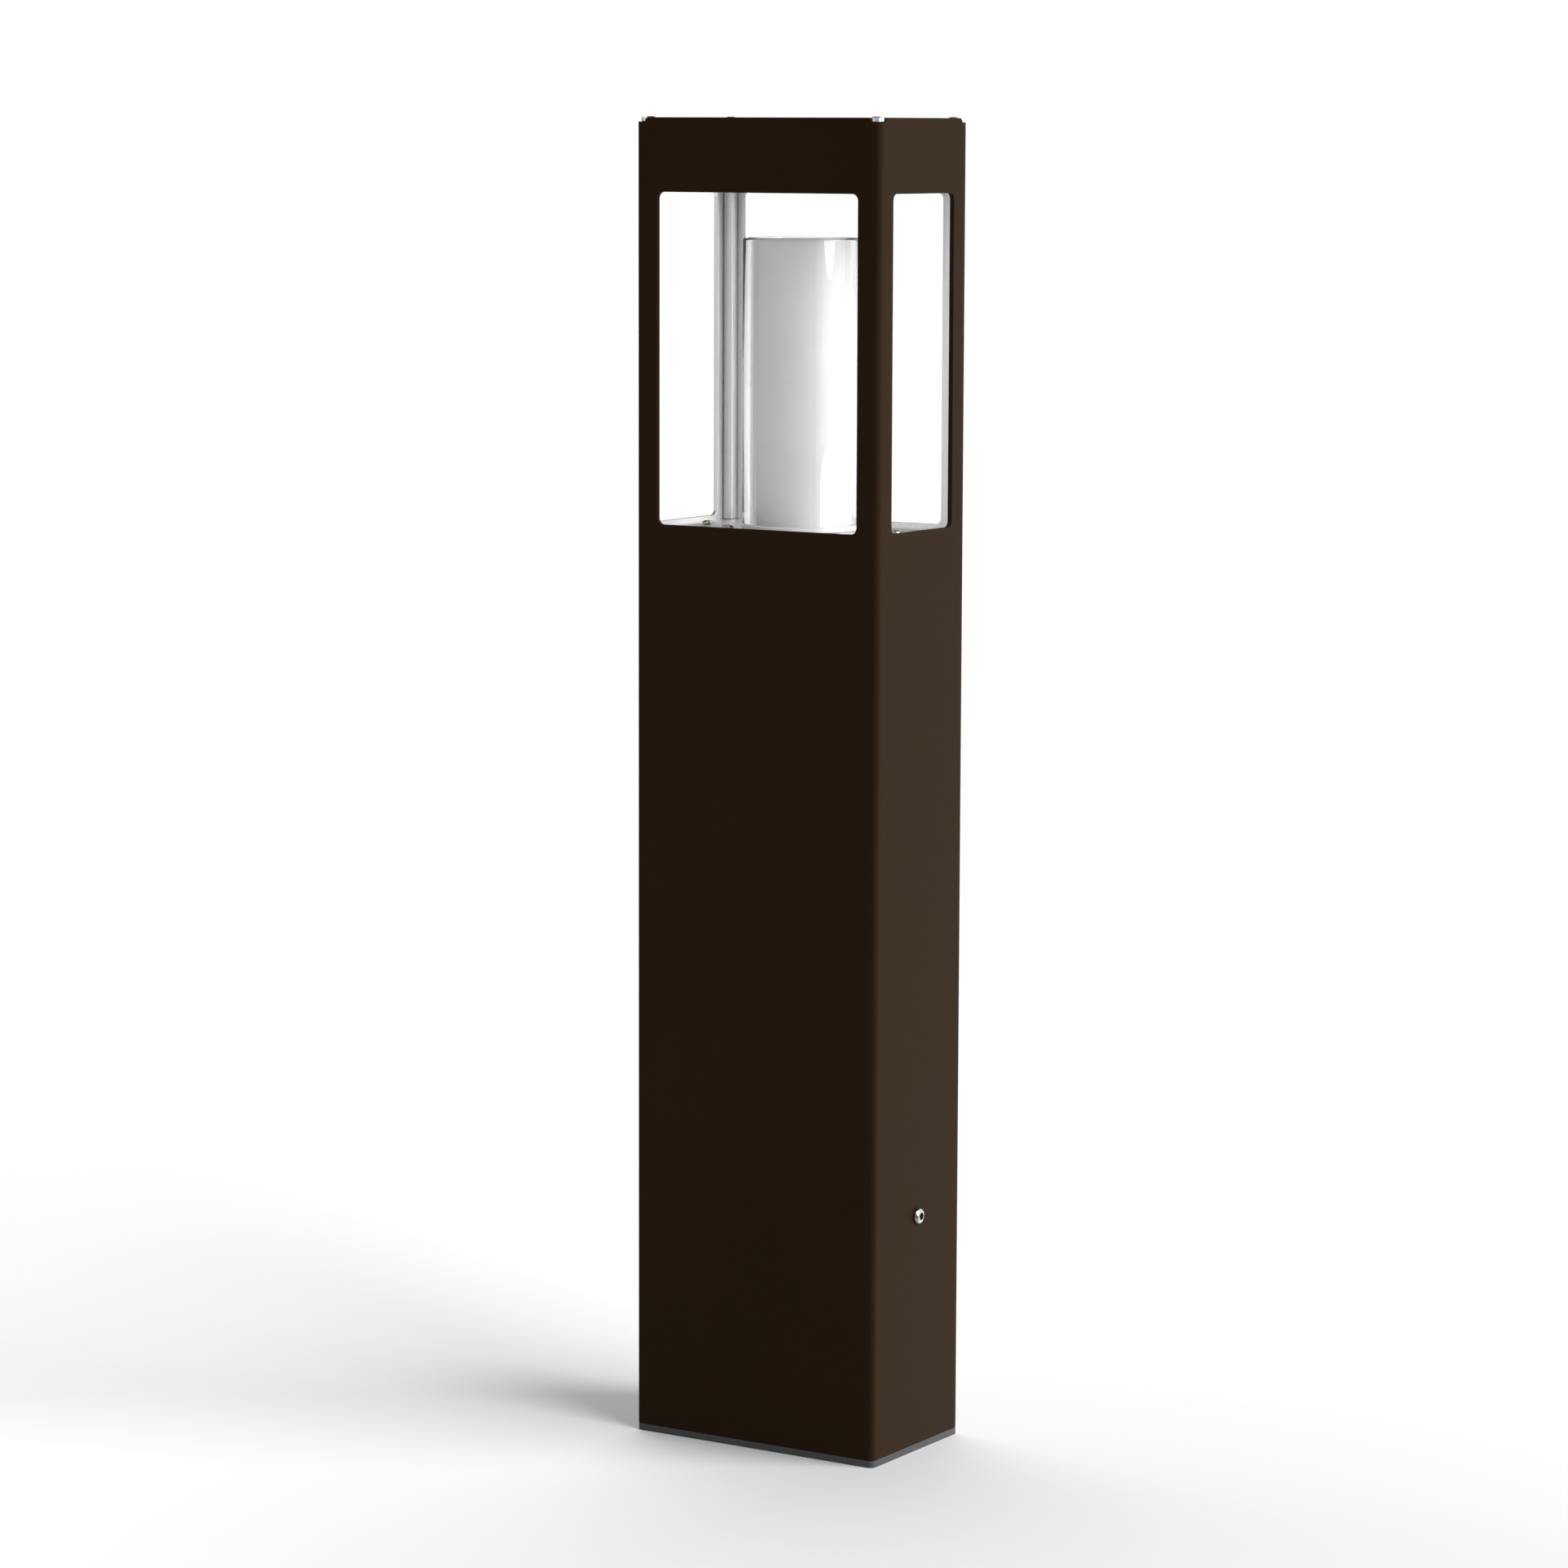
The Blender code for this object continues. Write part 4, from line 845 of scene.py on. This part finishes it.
sleeve_profile = fillet(
    [
        (0, opal_high.z, 0), (OPAL_RADIUS, opal_high.z, 1.2 * MM),
        (OPAL_RADIUS, opal_low.z, 0.3 * MM), (OPAL_BORE, opal_low.z, 0.3 * MM),
        (OPAL_BORE, OPAL_CEILING, 0.8 * MM), (0, OPAL_CEILING, 0),
    ],
    steps=5,
)
turned_piece("opal_sleeve", sleeve_profile, OPAL, "diffuser", ["diffuser_opal"], sides=160)

gasket_profile = box_profile(GASKET_BORE, gasket_high.y, gasket_low.z, gasket_high.z, GASKET_ROUNDS)
turned_piece(
    "glass_gasket_ring", gasket_profile, SILICONE, "column", ["glass_gasket"], sides=128
)

# %% [markdown]
# The screws. All of them are turned profiles, but a head with a socket is more than a lathe shape: its
# inner rim is a hexagon. The trick is one grid whose radius depends on the angle. From the head's outer
# edge to the crown the radius is round, and from the crown inwards it is the distance to a hexagon's
# side, so the grid simply walks from a circle into a hexagon and down its walls.

# %% Screws


def hexagon_radius(angle, across_flats):
    """Distance from a hexagon's centre to its side: half the flats over the cosine within each sixth."""
    within = (angle + np.pi / 6) % (np.pi / 3) - np.pi / 6
    return across_flats / 2 / np.cos(within)


def dome_heights(share, height, edge):
    """A button head's outline: the height falls with the square root from the crown to the edge."""
    return edge + (height - edge) * np.sqrt(np.clip(1 - share**2, 0, 1))


# Small rounds in millimetres, and the number of rows that make the socket with its lip.
LIP_CHAMFER = 0.25
HEAD_ROUND = 0.15
NECK_ROUND = 0.3
POINT_CHAMFER = 0.5
SOCKET_CONE = 0.12
SOCKET_ROWS = 4


def socket_screw(radius, height, edge, socket, depth, shank, length, sides=48):
    """Rows of a domed head with a hexagon socket and a shank, its axis along Z and its seat at zero.

    The sizes are in millimetres and the points in metres. Every row is a closed ring. Round rows have
    one radius, and socket rows take the hexagon's radius.
    """
    angle = np.linspace(0, 2 * np.pi, sides + 1)
    ring = np.ones_like(angle)
    flats = hexagon_radius(angle, socket)
    lip = hexagon_radius(angle, socket + LIP_CHAMFER)
    share = np.sin(np.linspace(0, np.pi / 2, 13))[4:]
    rows = [(flats * 0, height - depth - socket * SOCKET_CONE), (flats, height - depth)]
    rows += [(flats, height - LIP_CHAMFER), (lip, height)]
    rows += [(lip + (radius - lip) * value, dome_heights(value, height, edge)) for value in share]
    rows += [(ring * radius, edge * 0.3), (ring * (radius - HEAD_ROUND), 0.0)]
    rows += [(ring * (shank + NECK_ROUND), 0.0), (ring * shank, -NECK_ROUND)]
    rows += [(ring * shank, POINT_CHAMFER - length), (ring * (shank - POINT_CHAMFER), -length)]
    rows.append((ring * 0, -length))
    radii = np.stack([row[0] for row in rows])
    heights = np.array([row[1] for row in rows])[:, None] * ring[None]
    return np.stack([radii * np.cos(angle), radii * np.sin(angle), heights], -1) * MM


def along(points, origin, axis):
    """Turns a shape made along Z so that it points along the axis from the origin."""
    turn = np.array(Vector((0, 0, 1)).rotation_difference(Vector(axis)).to_matrix())
    return points @ turn.T + np.array(origin)


def screw_piece(node, shape, axis, body):
    """One screw along an axis, whose head's top meets the side of the node's box that the axis points to.

    The first rows are the socket's floor, walls and lip, which take a near-black steel as painted shade in
    the recess.
    """
    low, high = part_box(node)
    reach = abs((high - low).dot(Vector(axis))) / 2 - shape[..., 2].max()
    grid = along(shape, (low + high) / 2 + Vector(axis) * reach, axis)
    patches = [(grid[:SOCKET_ROWS], 1), (grid[SOCKET_ROWS - 1:], 0)]
    mesh = build_mesh(node + "_fine", patches, [STAINLESS, SOCKET_PAINTED_SHADE], sharp=38)
    return place_piece(node + "_fine", mesh, body, [node])


SIDE_HEAD = socket_screw(radius=4.9, height=2.8, edge=0.5, socket=4, depth=2, shank=2.5, length=14, sides=96)
LID_HEAD = socket_screw(radius=3, height=1.5, edge=0.5, socket=2, depth=0.9, shank=1.5, length=13)
SHELF_HEAD = socket_screw(radius=2.9, height=2.2, edge=0.6, socket=2, depth=1.2, shank=1.8, length=8)
HOLDER_HEAD = socket_screw(radius=2.8, height=1.8, edge=0.5, socket=2, depth=1, shank=1.5, length=7)
EARTH_HEAD = socket_screw(radius=3.6, height=1.8, edge=0.5, socket=2.5, depth=1, shank=2, length=16)
BOX_HEAD = socket_screw(radius=2.8, height=1.6, edge=0.5, socket=2, depth=0.9, shank=1.4, length=15)

UP, LEFT, RIGHT, FRONT = (0, 0, 1), (-1, 0, 0), (1, 0, 0), (0, -1, 0)
screw_piece("side_screw_left", SIDE_HEAD, LEFT, "column")
screw_piece("side_screw_right", SIDE_HEAD, RIGHT, "column")
for corner in range(1, 5):
    screw_piece(f"lid_screw_{corner}", LID_HEAD, UP, "lid")
for node, shape in (("shelf_screw", SHELF_HEAD), ("lampholder_screw", HOLDER_HEAD)):
    for side in ("left", "right"):
        screw_piece(f"{node}_{side}", shape, UP, "column")
screw_piece("earth_stud", EARTH_HEAD, UP, "column")
for corner in range(1, 5):
    screw_piece(f"box_lid_screw_{corner}", BOX_HEAD, FRONT, "column")

# %% [markdown]
# The lamp and its holder. The cap's thread is a true helix: the radius of a point depends on its
# height less its share of a turn, which is what makes a thread out of a plain grid of rings. The holder
# is a glazed stoneware bell, and the lamp has a moulded neck and a satin cover.

# %% Lamp and lampholder
cap_low, cap_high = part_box("lamp_cap")
tip_low, tip_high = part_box("lamp_tip")
neck_low, neck_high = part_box("lamp_body")
globe_low, globe_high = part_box("lamp_globe")
holder_low, holder_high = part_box("lampholder_body")
CAP_RADIUS = cap_high.x
CAP_FOOT_RADIUS = 10 * MM
CAP_FOOT_ROUND = 3 * MM
CAP_FOOT_EDGE = 0.5 * MM
CAP_COLLAR = 4 * MM
CAP_ROWS = 110
THREAD_PITCH = 3.5 * MM
THREAD_DEPTH = 0.9 * MM


def threaded_cap(sides=96):
    """A closed cap whose middle rings carry the thread.

    The thread is crest minus half a depth times one minus the cosine of (height / pitch - turn share),
    faded out at both ends.
    """
    angle = np.linspace(0, 2 * np.pi, sides + 1)
    low, high = cap_low.z, cap_high.z
    height = np.linspace(low + CAP_FOOT_EDGE, high, CAP_ROWS)
    wave = np.cos(2 * np.pi * (height[:, None] / THREAD_PITCH - angle[None] / (2 * np.pi)))
    rise = np.clip((height - low) / (2 * THREAD_PITCH), 0, 1)
    fall = np.clip((high - CAP_COLLAR - height) / THREAD_PITCH, 0, 1)
    taper = np.clip((height - low) / CAP_FOOT_ROUND, 0, 1)
    base = CAP_FOOT_RADIUS + (CAP_RADIUS - CAP_FOOT_RADIUS) * np.sin(taper * np.pi / 2)
    radius = base[:, None] - THREAD_DEPTH / 2 * (1 - wave) * (rise * fall)[:, None]
    level = np.broadcast_to(height[:, None], radius.shape)
    rows = np.stack([radius * np.cos(angle), radius * np.sin(angle), level], -1)
    foot = np.zeros_like(rows[:1])
    foot[..., 2] = low
    rim = rows[:1].copy()
    rim[..., 2] = low
    crown = np.zeros_like(rows[:1])
    crown[..., 2] = high
    return np.concatenate([foot, rim, rows, crown])


cap_mesh = build_mesh("lamp_cap_thread", [(threaded_cap(), 0)], [NICKEL], sharp=50)
place_piece("lamp_cap_thread", cap_mesh, "lamp", ["lamp_cap"])

tip_profile = fillet(
    [
        (0, tip_high.z, 0), (9 * MM, tip_high.z, 0.3 * MM), (5 * MM, tip_low.z + 0.8 * MM, 0.4 * MM),
        (4 * MM, tip_low.z, 0.4 * MM), (0, tip_low.z, 0),
    ]
)
turned_piece("lamp_tip_fine", tip_profile, BLACK_PLASTIC, "lamp", ["lamp_tip"], sides=64)

neck_profile = fillet(
    [
        (0, neck_high.z, 0), (neck_high.x, neck_high.z, 0.5 * MM),
        (neck_high.x, neck_high.z - 4 * MM, 3 * MM), (CAP_RADIUS + 2.5 * MM, neck_low.z + 5 * MM, 2 * MM),
        (CAP_RADIUS + 0.8 * MM, neck_low.z, 0.5 * MM), (0, neck_low.z, 0),
    ]
)
turned_piece("lamp_neck", neck_profile, WHITE_PLASTIC, "lamp", ["lamp_body"])

GLOBE_WALL = 1.2 * MM


def globe_profile():
    """An outer and an inner half-round dome on straight skirts, joined at the open rim."""
    turn = np.linspace(np.pi / 2, 0, 20)
    outer, inner = globe_high.x, globe_high.x - GLOBE_WALL
    level = globe_high.z - outer
    dome = np.stack([outer * np.cos(turn), level + outer * np.sin(turn)], 1)
    inside = np.stack([inner * np.cos(turn[::-1]), level + inner * np.sin(turn[::-1])], 1)
    dome[0, 0] = inside[-1, 0] = 0
    skirt = [(outer, globe_low.z), (inner, globe_low.z)]
    return np.concatenate([dome, skirt, inside])


turned_piece("lamp_cover", globe_profile(), OPAL, "lamp", ["lamp_globe"])

HOLDER_BORE = 14.6 * MM
HOLDER_FLOOR = holder_low.z + 9 * MM
HOLDER_FOOT_RADIUS = 12 * MM
CONTACT_HOLE_RADIUS = 3.5 * MM
holder_profile = fillet(
    [
        (HOLDER_BORE, holder_high.z, 0.6 * MM), (holder_high.x, holder_high.z, 1.5 * MM),
        (holder_high.x, holder_low.z + 10 * MM, 2 * MM),
        (HOLDER_FOOT_RADIUS, holder_low.z + 4.5 * MM, 1 * MM),
        (HOLDER_FOOT_RADIUS, holder_low.z, 0.4 * MM), (CONTACT_HOLE_RADIUS, holder_low.z, 0.3 * MM),
        (CONTACT_HOLE_RADIUS, HOLDER_FLOOR, 0.3 * MM), (HOLDER_BORE, HOLDER_FLOOR, 0.5 * MM),
    ],
    closed=True, steps=5,
)
turned_piece(
    "lampholder_bell", closed_row(holder_profile), CERAMIC, "column", ["lampholder_body"]
)

# %% [markdown]
# The rest of the machined and pressed parts keep their modelled shape exactly. Each gets a copy of the
# CAD surface with its loose triangles welded, its flat faces made whole, and a small bevel on every
# edge. A fresh surface would say nothing new about a plate or an angle, and the copy keeps every hole
# where the model has it.

# %% Softened copies of the plain parts
SLOT_FINISH = {
    "brown_powder_coat": BROWN, "bare_aluminium": ALUMINIUM, "stainless_steel": STAINLESS,
    "galvanised_steel": GALVANISED, "dark_rubber": RUBBER, "pale_silicone": SILICONE,
    "clear_glass": CLEAR, "opal_glass": OPAL, "glazed_ceramic": CERAMIC, "nickelled_brass": NICKEL,
    "white_plastic": WHITE_PLASTIC, "black_plastic": BLACK_PLASTIC, "grey_plastic": GREY_PLASTIC,
    "cable_jacket": JACKET, "earth_sleeve": EARTH,
}
SLOT_OF = {part["node"]: part["material_slot"] for part in frame["record"]["subparts"]}
BODY_OF = {
    node: body for body, nodes in frame["record"]["behaviour"]["bodies"].items() for node in nodes
}


def softened_copy(node, width, finish=None):
    """Welds a copy of the CAD surface, joins its flat triangles into faces and bevels the edges."""
    shape = bmesh.new()
    shape.from_mesh(frame["nodes"][node].data)
    bmesh.ops.remove_doubles(shape, verts=shape.verts, dist=2e-6)
    bmesh.ops.dissolve_limit(
        shape, angle_limit=np.radians(1), verts=shape.verts, edges=shape.edges, delimit=set()
    )
    mesh = bpy.data.meshes.new(node + "_soft")
    shape.to_mesh(mesh)
    shape.free()
    mesh.materials.clear()
    mesh.materials.append(finish or SLOT_FINISH[SLOT_OF[node]])
    mesh.polygons.foreach_set("material_index", np.zeros(len(mesh.polygons), np.int32))
    mesh.shade_smooth()
    mesh.set_sharp_from_angle(angle=np.radians(30))
    piece = place_piece(node + "_soft", mesh, BODY_OF[node], [node])
    soften(piece, width * MM, segments=2, angle=40)
    return piece


SOFT_EDGES = {
    "lid_plate": 0.25, "shelf_plate": 0.2, "base_gasket": 0.3, "anchor_plate": 0.35,
    "anchor_arm_left": 0.3, "anchor_arm_right": 0.3, "shelf_bracket_left": 0.25, "shelf_bracket_right": 0.25,
    "box_bracket": 0.25, "lampholder_bracket": 0.2, "terminal_box": 0.3, "box_seal": 0.1, "box_lid": 0.35,
    "terminal_block": 0.3, "earth_lug": 0.1, "earth_nut": 0.15, "clamp_nut_left": 0.2, "clamp_nut_right": 0.2,
    "corner_post_fl": 0.3, "corner_post_fr": 0.3, "corner_post_bl": 0.3, "corner_post_br": 0.3,
}
for bolt in range(1, 5):
    SOFT_EDGES[f"arm_bolt_{bolt}"] = 0.2
for node, width in SOFT_EDGES.items():
    softened_copy(node, width, POST_ALUMINIUM if node.startswith("corner_post") else None)
print("softened", len(SOFT_EDGES), "parts")

# %% [markdown]
# What is left is small, round and mostly hidden: the leads, the glands, the grommet and the holder's
# metal parts. They keep the CAD surface as it is and only take a finish.

# %% Finishes on the kept nodes
for node, slot in SLOT_OF.items():
    mesh = frame["nodes"][node].data
    mesh.materials.clear()
    mesh.materials.append(SLOT_FINISH[slot])
print("finished", len(SLOT_OF), "CAD nodes")
